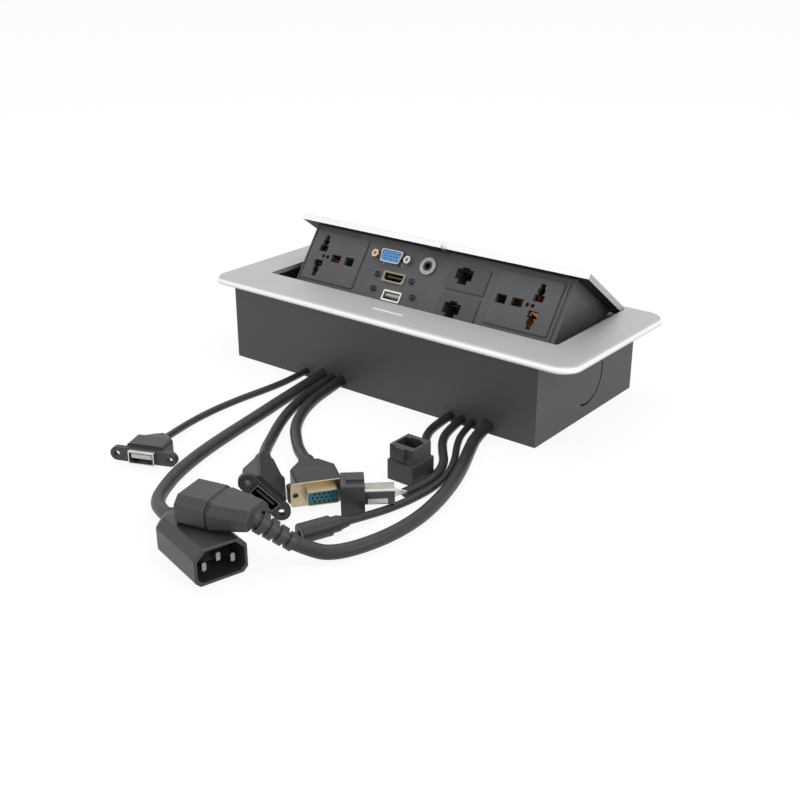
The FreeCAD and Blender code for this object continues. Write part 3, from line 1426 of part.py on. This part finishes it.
save("mains_plug_pins", [placed(blade, mains_plug_at) for blade in plug_blades])
grip = placed(mains_connector(), mains_connector_at)
save("mains_connector_body", grip)
save("mains_connector_boot", mains_connector_boot().cut(grip))
save("keystone_a", keystone_a())
front_block, barrel = keystone_b()
save("keystone_b_front", placed(front_block, keystone_b_at))
save("keystone_b_barrel", placed(barrel, keystone_b_at))
save("network_pairs", network_pairs())
save("audio_socket", placed(audio_socket(), audio_socket_at))
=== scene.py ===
"""Looks of a desk socket: a steel box under a silver frame, a tilting lid with its outlet panel,
and the leads that lie on the table in front of it. Metres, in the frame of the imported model."""
import math

import bmesh
import bpy
import numpy as np
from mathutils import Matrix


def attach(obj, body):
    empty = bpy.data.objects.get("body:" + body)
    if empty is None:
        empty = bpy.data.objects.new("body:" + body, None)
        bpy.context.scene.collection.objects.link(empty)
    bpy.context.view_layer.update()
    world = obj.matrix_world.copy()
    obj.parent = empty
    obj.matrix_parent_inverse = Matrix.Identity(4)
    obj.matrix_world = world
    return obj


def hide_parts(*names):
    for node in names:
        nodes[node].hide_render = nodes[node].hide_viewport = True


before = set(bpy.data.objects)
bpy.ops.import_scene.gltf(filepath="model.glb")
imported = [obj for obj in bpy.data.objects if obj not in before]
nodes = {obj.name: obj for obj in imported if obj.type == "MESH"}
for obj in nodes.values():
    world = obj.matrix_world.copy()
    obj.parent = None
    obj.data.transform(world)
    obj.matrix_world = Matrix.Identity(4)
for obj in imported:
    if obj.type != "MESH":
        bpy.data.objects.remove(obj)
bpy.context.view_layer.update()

# The camera stands in front of the box's right end, a little above the frame, where the photograph
# was taken from, and has the photograph's angle of view.
camera = bpy.data.objects.new("camera", bpy.data.cameras.new("camera"))
camera.data.sensor_width = 36
camera.data.lens = 52.89
camera.data.clip_end = 20
camera.location = (0.40766, -0.54636, 0.27510)
camera.rotation_euler = (math.radians(66.596), math.radians(0.05), math.radians(38.162))
bpy.context.collection.objects.link(camera)
bpy.context.scene.camera = camera


# Connector bodies: the mains plug, the mains connector and the two snap-in data jacks. They are
# moulded, so every edge is rounded, and the rounding is real geometry that shows in the outline.
weld_distance = 0.000002
flat_angle = math.radians(1)
edge_angle = math.radians(30)


def moulded(name, radius):
    """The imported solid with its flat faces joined, and each edge sharper than the edge angle
    replaced by an arc of the radius in three steps."""
    mesh = nodes[name].data.copy()
    shape = bmesh.new()
    shape.from_mesh(mesh)
    bmesh.ops.remove_doubles(shape, verts=shape.verts, dist=weld_distance)
    bmesh.ops.dissolve_limit(shape, angle_limit=flat_angle, verts=shape.verts, edges=shape.edges)
    shape.to_mesh(mesh)
    shape.free()
    piece = bpy.data.objects.new(name + "_moulded", mesh)
    bpy.context.collection.objects.link(piece)
    mesh.polygons.foreach_set("use_smooth", np.ones(len(mesh.polygons), dtype=bool))
    mesh.set_sharp_from_angle(angle=edge_angle)
    rounding = piece.modifiers.new("rounding", "BEVEL")
    rounding.width = radius
    rounding.segments = 3
    rounding.limit_method = "ANGLE"
    rounding.angle_limit = edge_angle
    rounding.use_clamp_overlap = False
    rounding.harden_normals = True
    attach(piece, "housing")
    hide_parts(name)
    return piece


mains_edge = 0.0006
jack_edge = 0.0003
pieces = dict(nodes)
for name, slot, radius in (("mains_plug_body", "mains_grey", mains_edge),
                           ("mains_connector_body", "mains_grey", mains_edge),
                           ("keystone_a", "data_grey", jack_edge),
                           ("keystone_b_front", "data_grey", jack_edge)):
    pieces[name] = moulded(name, radius)


# Leads: eight round PVC-sheathed leads come through the rubber strips in the front wall and lie
# on the table, two of them thick mains leads. Each ends in its moulded connector.
class Field:
    """A value that changes over a surface. Arithmetic on it adds Math nodes."""

    def __init__(self, finish, socket):
        self.finish = finish
        self.socket = socket

    def math(self, operation, *values):
        """A Math node on two values."""
        return self.finish.node("ShaderNodeMath", {"operation": operation}, dict(enumerate(values)))

    def __add__(self, other):
        return self.math("ADD", self, other)

    def __sub__(self, other):
        return self.math("SUBTRACT", self, other)

    def __mul__(self, other):
        return self.math("MULTIPLY", self, other)

    def __radd__(self, other):
        return self.math("ADD", other, self)

    def __rsub__(self, other):
        return self.math("SUBTRACT", other, self)

    def __rmul__(self, other):
        return self.math("MULTIPLY", other, self)

    def within(self, middle, half, softness):
        """1 nearer to a middle value than half a width, 0 farther away, with a soft step between."""
        return 1 - self.math("ABSOLUTE", self - middle).above(half, softness)

    def above(self, edge, softness):
        """0 below an edge, 1 above it, with a soft step between."""
        return self.finish.node("ShaderNodeMapRange", {"interpolation_type": "SMOOTHSTEP"}, {
            "Value": self, "From Min": edge - softness, "From Max": edge + softness})


class Finish:
    """A material: one Principled surface whose sockets are fed by values, colours and fields."""

    def __init__(self, name, **surface):
        self.material = bpy.data.materials.new(name)
        self.material.use_nodes = True
        self.tree = self.material.node_tree
        self.shader = self.tree.nodes["Principled BSDF"]
        self.set(**surface)

    def node(self, kind, settings, values, output=0):
        """Any node: its settings first, then the values or links of its sockets."""
        made = self.tree.nodes.new(kind)
        for name, value in settings.items():
            setattr(made, name, value)
        for name, value in values.items():
            self.feed(made.inputs[name], value)
        return Field(self, made.outputs[output])

    def feed(self, socket, value):
        """Link a field to a socket, or set the socket to a value."""
        if isinstance(value, Field):
            self.tree.links.new(value.socket, socket)
        elif socket.type == "RGBA" and len(value) == 3:
            socket.default_value = (*value, 1)
        else:
            socket.default_value = value

    def set(self, **surface):
        """Feed the surface's own sockets, named with underscores for spaces."""
        for name, value in surface.items():
            self.feed(self.shader.inputs[name.replace("_", " ")], value)

    def place(self, stretch=(1, 1, 1)):
        """Where a point of the surface is, in metres, stretched for a pattern."""
        here = self.node("ShaderNodeTexCoord", {}, {}, "Object")
        return self.node("ShaderNodeMapping", {}, {"Vector": here, "Scale": stretch})

    def vector(self, operation, first, second, output):
        """A Vector Math node on two vectors."""
        return self.node("ShaderNodeVectorMath", {"operation": operation}, {0: first, 1: second},
                         output)

    def reach(self, way, start=(0, 0, 0)):
        """How far a point of the surface lies along a direction from a start, in metres."""
        here = self.vector("SUBTRACT", self.place(), start, "Vector")
        return self.vector("DOT_PRODUCT", here, way, "Value")

    def off_line(self, start, way):
        """How far a point of the surface lies from a line: the length of the cross product of
        its offset from the start and the line's unit direction."""
        here = self.vector("SUBTRACT", self.place(), start, "Vector")
        across = self.vector("CROSS_PRODUCT", here, way, "Vector")
        return self.vector("LENGTH", across, (0, 0, 0), "Value")

    def lean(self, way):
        """Cosine of the angle between a unit direction and the way the surface looks."""
        normal = self.node("ShaderNodeTexCoord", {}, {}, "Normal")
        return self.vector("DOT_PRODUCT", normal, way, "Value")

    def facing(self, way):
        """1 where the surface looks within about 25 degrees of a direction and 0 elsewhere."""
        return self.lean(way).above(0.9, 0.05)

    def grain(self, size, detail, place=None):
        """Cloudy pattern whose patches are about one size across, in metres."""
        return self.node("ShaderNodeTexNoise", {}, {"Vector": place or self.place(), "Scale": 1 / size,
                                                    "Detail": detail})

    def blend(self, amount, low, high):
        """Colour between two colours."""
        return self.node("ShaderNodeMix", {"data_type": "RGBA"}, {0: amount, 6: low, 7: high}, 2)

    def overlay(self, amount, colour):
        """Lay another colour over what already feeds the surface, by an amount from 0 to 1."""
        below = Field(self, self.shader.inputs["Base Color"].links[0].from_socket)
        self.set(Base_Color=self.blend(amount, below, colour))

    def soft_edges(self, radius):
        """Normals rounded over the edges, as a moulding or a deburred sheet has."""
        return self.node("ShaderNodeBevel", {"samples": 6}, {"Radius": radius})

    def edge_mask(self, radius):
        """About 1 on a convex or hollow edge and 0 on open surface: how far the rounded normal
        turns from the true one."""
        rounded = self.soft_edges(radius)
        true = self.node("ShaderNodeNewGeometry", {}, {}, "Normal")
        return (1 - self.vector("DOT_PRODUCT", rounded, true, "Value")).above(0.08, 0.08)

    def relief(self, height, depth, radius=0.0002):
        """Bumps of a given depth in metres over softened edges."""
        normal = self.node("ShaderNodeBump", {}, {"Height": height, "Distance": depth, "Strength": 1.0,
                                                  "Normal": self.soft_edges(radius)})
        self.set(Normal=normal)


def dress(finish, *names):
    """Give pieces a finish."""
    for name in names:
        for holder in pieces[name].material_slots:
            holder.material = finish.material


def shade(colour, times, more=0.0):
    """A colour with its channels multiplied and raised, none brighter than white."""
    return [min(1, times * channel + more) for channel in colour]


def sheath(name, colour, roughness):
    """Extruded soft PVC: nearly smooth, with faint unevenness and handling marks."""
    finish = Finish(name, Metallic=0.0)
    marks = finish.grain(0.011, 4)
    fine = finish.grain(0.0006, 2)
    finish.set(Base_Color=finish.blend(marks.above(0.5, 0.25), colour, shade(colour, 1.75)),
               Roughness=roughness + 0.16 * marks + 0.05 * fine)
    finish.relief(0.6 * fine + marks, 0.00006)
    return finish


def lead(name, radius, route):
    """A lead's line is a quadratic NURBS curve that stays close to its route's points; a circle
    swept along it gives the sheath."""
    line = bpy.data.curves.new(name, "CURVE")
    line.dimensions = "3D"
    line.bevel_depth = radius
    line.bevel_resolution = 6
    line.use_fill_caps = True
    spline = line.splines.new("NURBS")
    spline.points.add(len(route) - 1)
    spline.points.foreach_set("co", np.column_stack([route, np.ones(len(route))]).ravel())
    spline.order_u = 3
    spline.use_endpoint_u = True
    spline.resolution_u = 14
    piece = bpy.data.objects.new(name, line)
    bpy.context.collection.objects.link(piece)
    return piece


thin_sheath = sheath("thin lead sheath", (0.012, 0.012, 0.014), 0.30)
mains_sheath = sheath("mains lead sheath", (0.014, 0.014, 0.016), 0.32)

# Each lead: radius, length, finish, kind of end, pieces of that end, and its route to it.
leads = {
    "usb": (0.002, 0.129, thin_sheath, "connector", ["usb_port_body", "usb_port_shell"], [
        (-0.053, -0.0512, 0.0041), (-0.0532, -0.066, 0.0028), (-0.0548, -0.084, 0.002),
        (-0.0572, -0.106, 0.002), (-0.0576, -0.128, 0.002), (-0.0554, -0.147, 0.0022),
        (-0.0504, -0.162, 0.0036), (-0.0442, -0.1774, 0.0057)]),
    "mains_in": (0.0035, 0.209, mains_sheath, "plug", ["mains_plug_body", "mains_plug_pins"], [
        (-0.04, -0.0512, 0.0051), (-0.0386, -0.07, 0.0036), (-0.035, -0.092, 0.0035),
        (-0.0302, -0.117, 0.0035), (-0.0254, -0.144, 0.0035), (-0.0202, -0.17, 0.0035),
        (-0.013, -0.194, 0.0035), (-0.005, -0.2106, 0.0035), (0.0034, -0.2228, 0.0044),
        (0.015, -0.2316, 0.007), (0.0294, -0.2369, 0.0091)]),
    "hdmi": (0.003, 0.138, thin_sheath, "connector", ["hdmi_port_body", "hdmi_port_shell"], [
        (-0.0323, -0.0512, 0.0048), (-0.031, -0.069, 0.0031), (-0.0276, -0.084, 0.003),
        (-0.0214, -0.103, 0.003), (-0.0126, -0.121, 0.003), (-0.0026, -0.137, 0.0036),
        (0.011, -0.1562, 0.0074), (0.0258, -0.172, 0.0126)]),
    "vga": (0.0032, 0.124, thin_sheath, "connector", ["vga_port_body", "vga_port_shell",
                                                      "vga_port_insert"], [
        (-0.025, -0.0512, 0.005), (-0.0239, -0.068, 0.0033), (-0.0204, -0.084, 0.0032),
        (-0.013, -0.102, 0.0032), (-0.003, -0.118, 0.0032), (0.009, -0.13, 0.0032),
        (0.0224, -0.1418, 0.0044), (0.0364, -0.1515, 0.0074)]),
    "network_a": (0.0025, 0.067, thin_sheath, "connector", ["keystone_a"], [
        (0.0565, -0.0512, 0.0043), (0.056, -0.066, 0.0028), (0.0586, -0.078, 0.0025),
        (0.065, -0.089, 0.0027), (0.073, -0.098, 0.0042), (0.0784, -0.1126, 0.006)]),
    "network_b": (0.0025, 0.099, thin_sheath, "connector", ["keystone_b_front", "keystone_b_barrel",
                                                            "network_pairs"], [
        (0.064, -0.0512, 0.0043), (0.0652, -0.067, 0.0027), (0.07, -0.08, 0.0025),
        (0.0786, -0.0915, 0.0025), (0.087, -0.1015, 0.0025), (0.092, -0.1135, 0.0025),
        (0.0936, -0.128, 0.0026), (0.0932, -0.143, 0.0042)]),
    "audio": (0.002, 0.139, thin_sheath, "connector", ["audio_socket"], [
        (0.071, -0.0512, 0.004), (0.073, -0.066, 0.0024), (0.0796, -0.08, 0.002),
        (0.0886, -0.094, 0.002), (0.0956, -0.1088, 0.002), (0.0988, -0.125, 0.002),
        (0.098, -0.141, 0.002), (0.0954, -0.156, 0.002), (0.0924, -0.1698, 0.003),
        (0.0906, -0.183, 0.0051)]),
    "mains_out": (0.0035, 0.182, mains_sheath, "connector", ["mains_connector_body",
                                                             "mains_connector_boot"], [
        (0.081, -0.0512, 0.0051), (0.0834, -0.068, 0.0037), (0.0904, -0.084, 0.0035),
        (0.0987, -0.102, 0.0035), (0.1055, -0.12, 0.0035), (0.1106, -0.139, 0.0035),
        (0.1136, -0.158, 0.0035), (0.113, -0.178, 0.0035), (0.1084, -0.1965, 0.0035),
        (0.1024, -0.2074, 0.0036), (0.0966, -0.2128, 0.005), (0.0888, -0.2188, 0.0098)]),
}
for name, (radius, length, finish, far_end, carried, route) in leads.items():
    piece = lead("lead_" + name, radius, route)
    piece.data.materials.append(finish.material)
    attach(piece, "housing")
    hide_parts("cord_" + name)


# Box: folded sheet steel with a fine-textured dark powder coat, spot-welded at its corners, with
# a push-out flap in its right end wall and two notches in front for the leads.
def powder_coat(name, colour, roughness):
    """Baked powder: orange-peel bumps, a dusty cloudiness, and paint paler at the edges, partly from
    wear and partly a painted highlight.
    """
    finish = Finish(name, Metallic=0.0)
    orange_peel = finish.grain(0.0011, 2)
    dust = finish.grain(0.035, 5)
    # Paler at the edges: partly paint wear, partly a painted highlight.
    wear_and_highlight = finish.edge_mask(0.0005)
    body = finish.blend(dust.above(0.52, 0.3), colour, shade(colour, 1.22))
    finish.set(Base_Color=finish.blend(0.4 * wear_and_highlight, body, shade(colour, 3)),
               Roughness=roughness + 0.1 * dust)
    finish.relief(orange_peel, 0.00006)
    return finish


dress(powder_coat("box powder coat", (0.049, 0.049, 0.053), 0.46), "box_shell")


# Frame: an aluminium casting, bead-blasted and clear-anodised in silver. Its rounded rim has a
# bright band painted on it as a painted highlight, and a pale dash painted on the middle of its
# front is a painted highlight too.
def anodised(name, colour, roughness):
    """Blasted aluminium under a clear oxide: fine bumps, slight clouds, and smoother, paler edges,
    partly burnished metal and partly a painted highlight.
    """
    finish = Finish(name, Metallic=0.72)
    blast = finish.grain(0.00045, 2)
    cloud = finish.grain(0.05, 4)
    # Paler, smoother edges: partly burnished metal, partly a painted highlight.
    bright = finish.edge_mask(0.0004)
    body = finish.blend(cloud.above(0.5, 0.35), colour, shade(colour, 1.07))
    finish.set(Base_Color=finish.blend(0.6 * bright, body, (0.93, 0.93, 0.94)),
               Roughness=roughness + 0.10 * blast - 0.10 * bright)
    finish.relief(blast, 0.000018)
    return finish


silver = (0.46, 0.465, 0.475)
# Near white of the painted highlights on the frame's rim and the lid's front edge.
highlight_white = (0.95, 0.95, 0.96)
rim_highlight_lean = 0.42
rim_highlight_spread = 0.36
# Size and place of the painted highlight dash on the front strip.
dash_half_length = 0.011
dash_half_width = 0.0009
dash_y = -0.040

frame_finish = anodised("frame anodising", silver, 0.50)
# Painted highlight: faces that lean like the rounded rim are painted near white.
rim_highlight = frame_finish.lean((0, 0, 1)).within(rim_highlight_lean, rim_highlight_spread, 0.14)
frame_finish.overlay(0.85 * rim_highlight, highlight_white)
# Painted highlight: a pale dash painted across the middle of the front strip.
dash_highlight = (frame_finish.reach((1, 0, 0)).within(0.0, dash_half_length, 0.0004)
        * frame_finish.reach((0, 1, 0)).within(dash_y, dash_half_width, 0.0003))
frame_finish.overlay(dash_highlight, (0.90, 0.90, 0.91))
dress(frame_finish, "flange_frame")

# Lid and finger tab: silver plate of the same finish, with a painted highlight on its front edge.
# Its underside is painted dark as painted shade under the tilted lid, near the grey of the unit below
# it.
lid_tilt = math.radians(36.0)
panel_out = (0.0, -math.cos(lid_tilt), math.sin(lid_tilt))
panel_up = (0.0, math.sin(lid_tilt), math.cos(lid_tilt))
panel_down = (0.0, -math.sin(lid_tilt), -math.cos(lid_tilt))

lid_finish = anodised("lid anodising", silver, 0.50)
# Painted highlight: faces that look out along the panel, the lid's front edge, are painted near white.
lid_finish.overlay(0.8 * lid_finish.facing(panel_out), highlight_white)
# Painted shade: faces that look down under the tilted lid are painted dark.
lid_finish.overlay(lid_finish.facing(panel_down), (0.045, 0.045, 0.048))
dress(lid_finish, "lid_plate", "finger_tab")


# Panel, cheeks and tray: a dark moulded panel between two coated side plates, closed below and
# behind by a bent steel sheet.
def moulding(name, colour, roughness, grain_size=0.0007, depth=0.00003, edge=0.0002):
    """Spark-textured plastic: fine pits, faint flow marks, and paler edges, partly from handling wear
    and partly a painted highlight.
    """
    finish = Finish(name, Metallic=0.0)
    pits = finish.grain(grain_size, 2)
    flow = finish.grain(0.018, 4)
    # Paler at the edges: partly handling wear, partly a painted highlight.
    rubbed_and_highlit = finish.edge_mask(0.0003)
    body = finish.blend(flow.above(0.5, 0.3), colour, shade(colour, 1.25))
    finish.set(Base_Color=finish.blend(0.35 * rubbed_and_highlit, body, shade(colour, 2.6, 0.01)),
               Roughness=roughness + 0.12 * flow)
    finish.relief(pits, depth, edge)
    return finish


dress(moulding("panel plastic", (0.075, 0.076, 0.080), 0.42), "panel_plate")
dress(powder_coat("cheek coat", (0.085, 0.086, 0.090), 0.44), "cheek_right", "cheek_left")
dress(powder_coat("tray coat", (0.10, 0.10, 0.105), 0.48), "tray_cover")

# Power sockets: a satin moulded face with keyholes that take several kinds of plug, a box behind
# it, and stamped brass contacts.
dress(moulding("socket face plastic", (0.075, 0.076, 0.080), 0.40),
      "socket_left_face", "socket_right_face")
dress(moulding("socket back plastic", (0.05, 0.05, 0.052), 0.5),
      "socket_left_body", "socket_right_body")


def plated(name, colour, roughness):
    """Drawn or turned metal with a bright plating, fine marks that run along X, and a painted
    highlight along its edges.
    """
    finish = Finish(name, Metallic=1.0)
    marks = finish.grain(0.0006, 3, finish.place(stretch=(0.08, 1, 1)))
    stain = finish.grain(0.006, 3)
    # Paler at the edges: a painted highlight.
    bright = finish.edge_mask(0.00015)
    body = finish.blend(stain.above(0.55, 0.25), colour, shade(colour, 0.82))
    finish.set(Base_Color=finish.blend(0.5 * bright, body, (0.96, 0.95, 0.93)),
               Roughness=roughness + 0.14 * marks)
    finish.relief(marks, 0.00001, 0.00012)
    return finish


dress(plated("contact brass", (0.78, 0.47, 0.25), 0.24),
      "socket_left_contacts", "socket_right_contacts")

# Video socket: a nickel-plated steel shell with a blue insert, held by two hexagonal posts, the
# left one yellow-passivated.
between_posts_x = -0.030

nickel = plated("drawn nickel plate", (0.74, 0.72, 0.68), 0.20)
dress(nickel, "vga_shell")
dress(moulding("video insert plastic", (0.09, 0.27, 0.58), 0.34, 0.0005, 0.00001), "vga_insert")
post_plate = plated("post plate", (0.60, 0.60, 0.56), 0.32)
left_post = 1 - post_plate.reach((1, 0, 0)).above(between_posts_x, 0.001)
post_plate.overlay(left_post, (0.66, 0.53, 0.36))
dress(post_plate, "vga_standoffs")

# Media ports: two drawn metal sockets for digital video and data, the upper one dull olive, the
# lower one bright with a pale tongue. The tongues carry the contacts.
between_ports = 0.038

dress(plated("dull olive plate", (0.30, 0.27, 0.20), 0.38), "hdmi_shell")
dress(nickel, "usb_shell")
tongue_finish = moulding("tongue plastic", (0.03, 0.03, 0.03), 0.35)
lower_tongue = 1 - tongue_finish.reach(panel_up).above(between_ports, 0.0005)
tongue_finish.overlay(lower_tongue, (0.66, 0.64, 0.60))
dress(tongue_finish, "port_tongues")

# Sound socket: a turned jack that goes through the panel, held by a satin ring nut. Around its axis it
# is painted dark and not metallic: partly the dark plastic inside the jack, partly painted shade in
# its hole.
ring_middle = (-0.0028, 0.0037, 0.0662)
mouth_radius = 0.0032

ring_finish = plated("satin ring", (0.36, 0.36, 0.36), 0.38)
# Partly the jack's dark plastic, partly painted shade in its hole.
mouth_plastic_and_shade = 1 - ring_finish.off_line(ring_middle, panel_out).above(mouth_radius, 0.0002)
ring_finish.overlay(mouth_plastic_and_shade, (0.012, 0.012, 0.013))
ring_finish.set(Metallic=1 - mouth_plastic_and_shade)
dress(ring_finish, "audio_jack")

# Data sockets: two moulded jacks snapped into the panel, one above the other. Each holds eight
# sprung wires with a gold flash.
dress(moulding("data jack plastic", (0.055, 0.056, 0.060), 0.36),
      "network_jack_upper", "network_jack_lower")
dress(plated("gold flash", (0.92, 0.66, 0.28), 0.18), "network_contacts")

# Screws: small black pan heads on the panel, zinc-plated ones under the frame's front lip and in
# the rear wall.
dress(plated("black zinc plate", (0.030, 0.030, 0.032), 0.34), "panel_screws")
zinc = plated("bright zinc plate", (0.66, 0.66, 0.66), 0.28)
dress(zinc, "fixing_screws")

# Hinge: plated steel brackets screwed to the rear wall, headed pins, torsion springs, and oil
# dampers driven by acetal gears. Two magnets on the floor hold the unit when it is shut.
dress(zinc, "hinge_pins")
dress(plated("bracket plate", (0.56, 0.57, 0.58), 0.34), "hinge_bracket_right", "hinge_bracket_left")
dress(plated("spring wire", (0.42, 0.42, 0.43), 0.3), "torsion_springs")
dress(moulding("damper plastic", (0.035, 0.035, 0.037), 0.34), "dampers")
dress(moulding("acetal", (0.68, 0.66, 0.60), 0.36, 0.0006, 0.00001), "gear_sectors", "damper_pinions")
dress(plated("magnet nickel", (0.72, 0.71, 0.69), 0.18), "magnet_catch")

# Grommets: two rubber strips of the box's own grey that fill the notches in its front wall, with
# a hole for each lead.
dress(moulding("grommet rubber", (0.046, 0.046, 0.050), 0.56, 0.0009, 0.00005),
      "cable_grommet_left", "cable_grommet_right")

# Ports on leads: one data port and two video ports overmoulded in black, each with screw ears and
# a drawn metal mouth, and a slim sound socket. The data port has a pale tongue.
data_mouth = (-0.0361, -0.1979, 0.0058)
data_heading = math.radians(-67.5)
data_way = (math.cos(data_heading), math.sin(data_heading), 0)
data_across = (-math.sin(data_heading), math.cos(data_heading), 0)
tongue_z = 0.0008
tongue_half_height = 0.0013
tongue_half_width = 0.0059
tongue_depth = 0.0118

dress(moulding("overmould", (0.015, 0.015, 0.017), 0.38, 0.0006, 0.00004, 0.0006),
      "hdmi_port_body", "vga_port_body", "audio_socket")
data_finish = moulding("data port overmould", (0.032, 0.032, 0.035), 0.38, 0.0006, 0.00004, 0.0006)
data_tongue = (data_finish.reach((0, 0, 1), data_mouth).within(tongue_z, tongue_half_height, 0.00005)
              * data_finish.reach(data_across, data_mouth).within(0, tongue_half_width, 0.00005)
              * data_finish.reach(data_way, data_mouth).above(-tongue_depth, 0.0001))
data_finish.overlay(data_tongue, (0.62, 0.61, 0.58))
dress(data_finish, "usb_port_body")
dress(nickel, "usb_port_shell")
dress(plated("black nickel", (0.10, 0.10, 0.10), 0.36), "hdmi_port_shell")
dress(plated("pale gold flash", (0.54, 0.45, 0.30), 0.32), "vga_port_shell")
dress(moulding("video core plastic", (0.03, 0.14, 0.20), 0.3, 0.0005, 0.00001), "vga_port_insert")

# Mains plug and connector: dark moulded bodies with tin-plated blades, and a ribbed boot that
# keeps the lead from kinking.
dress(moulding("mains moulding", (0.030, 0.030, 0.034), 0.34, 0.0006, 0.00003),
      "mains_plug_body", "mains_connector_body", "mains_connector_boot")
# The blades are painted darker than bare tin, as painted shade where they sit deep in the plug's
# mouth.
dress(plated("tin-plated blade", (0.30, 0.30, 0.29), 0.36), "mains_plug_pins")

# Snap-in data jacks: black moulded blocks. The second has a die-cast barrel, one side of it painted
# dark as painted shade with a blank white sticker on that side, and its four bare wires come out
# behind.
barrel_end = (0.0945, -0.1526, 0.0085)
barrel_heading = math.radians(222)
barrel_way = (math.cos(barrel_heading), math.sin(barrel_heading), 0)
barrel_across = (-math.sin(barrel_heading), math.cos(barrel_heading), 0)
sticker_z = -0.0022
sticker_half_height = 0.0017
sticker_middle = 0.0082
sticker_half_length = 0.0048

dress(moulding("snap-in jack plastic", (0.032, 0.032, 0.035), 0.36), "keystone_a", "keystone_b_front")
barrel_finish = plated("die-cast barrel", (0.50, 0.50, 0.45), 0.34)
# Painted shade: the side of the barrel that looks across it is painted dark.
shaded_barrel_side = barrel_finish.facing(barrel_across)
barrel_finish.overlay(shaded_barrel_side, (0.085, 0.088, 0.080))
sticker = (shaded_barrel_side
           * barrel_finish.reach((0, 0, 1), barrel_end).within(sticker_z, sticker_half_height, 0.0001)
           * barrel_finish.reach(barrel_way, barrel_end).within(sticker_middle, sticker_half_length,
                                                                0.0001))
barrel_finish.overlay(sticker, (0.80, 0.80, 0.80))
barrel_finish.set(Metallic=1 - sticker)
dress(barrel_finish, "keystone_b_barrel")
dress(moulding("wire insulation", (0.70, 0.69, 0.66), 0.35, 0.0006, 0.00001), "network_pairs")

# Table: a plain pale table top that keeps a soft shadow. Seen directly it glows a little, so that
# it runs into the white room without a horizon.
table_half = 4
table_z = -0.0003
table_glow = 1.04
glow_share = 0.86


def seen_directly(finish):
    """1 for what the camera, a gloss reflection or glass sees, 0 for light that bounces."""
    path = finish.tree.nodes.new("ShaderNodeLightPath")
    camera_ray, gloss_ray, glass_ray = [Field(finish, path.outputs[kind]) for kind in (
        "Is Camera Ray", "Is Glossy Ray", "Is Transmission Ray")]
    return glass_ray.math("MAXIMUM", camera_ray.math("MAXIMUM", camera_ray, gloss_ray), glass_ray)


table_finish = Finish("pale table", Roughness=0.6, Base_Color=(0.86, 0.86, 0.86))
glow = table_finish.node("ShaderNodeEmission", {}, {"Color": (1, 1, 1), "Strength": table_glow})
table_mix = table_finish.node("ShaderNodeMixShader", {}, {
    0: seen_directly(table_finish) * glow_share,
    1: Field(table_finish, table_finish.shader.outputs[0]), 2: glow})
table_finish.feed(table_finish.tree.nodes["Material Output"].inputs[0], table_mix)
table_top = bpy.data.meshes.new("table")
table_top.from_pydata([(x * table_half, y * table_half, table_z)
                       for x, y in ((-1, -1), (1, -1), (1, 1), (-1, 1))], [], [(0, 1, 2, 3)])
table_top.materials.append(table_finish.material)
table = bpy.data.objects.new("table", table_top)
bpy.context.collection.objects.link(table)

# Light: a white room, brighter to the eye than to the object, and three large soft lamps above,
# to the right and in front.
world = bpy.data.worlds.new("white room")
bpy.context.scene.world = world
world.use_nodes = True


class Room(Finish):
    """The world's background, fed in the same way as a surface."""

    def __init__(self, tree):
        self.tree = tree
        self.shader = tree.nodes["Background"]


room = Room(world.node_tree)
room.set(Color=(1, 1, 1), Strength=0.55 + 0.45 * seen_directly(room))


def softbox(name, place, aim, width, height, power):
    """A rectangular lamp at a place, turned so that it faces a point."""
    lamp = bpy.data.lights.new(name, "AREA")
    lamp.shape = "RECTANGLE"
    lamp.size = width
    lamp.size_y = height
    lamp.energy = power
    holder = bpy.data.objects.new(name, lamp)
    way = np.subtract(aim, place)
    holder.location = place
    holder.rotation_euler = (math.atan2(math.hypot(way[0], way[1]), -way[2]), 0,
                             math.atan2(way[1], way[0]) - math.pi / 2)
    bpy.context.collection.objects.link(holder)


softbox("overhead", (-0.1, 0.1, 1.5), (0, -0.05, 0), 1.6, 1.2, 9.0)
softbox("right", (1.5, 0.0, 0.8), (0, 0, 0.03), 1.0, 1.0, 6.0)
softbox("front", (-0.6, -1.6, 0.9), (0, -0.1, 0.03), 1.2, 0.8, 3.0)

bpy.context.scene.view_settings.view_transform = "Standard"
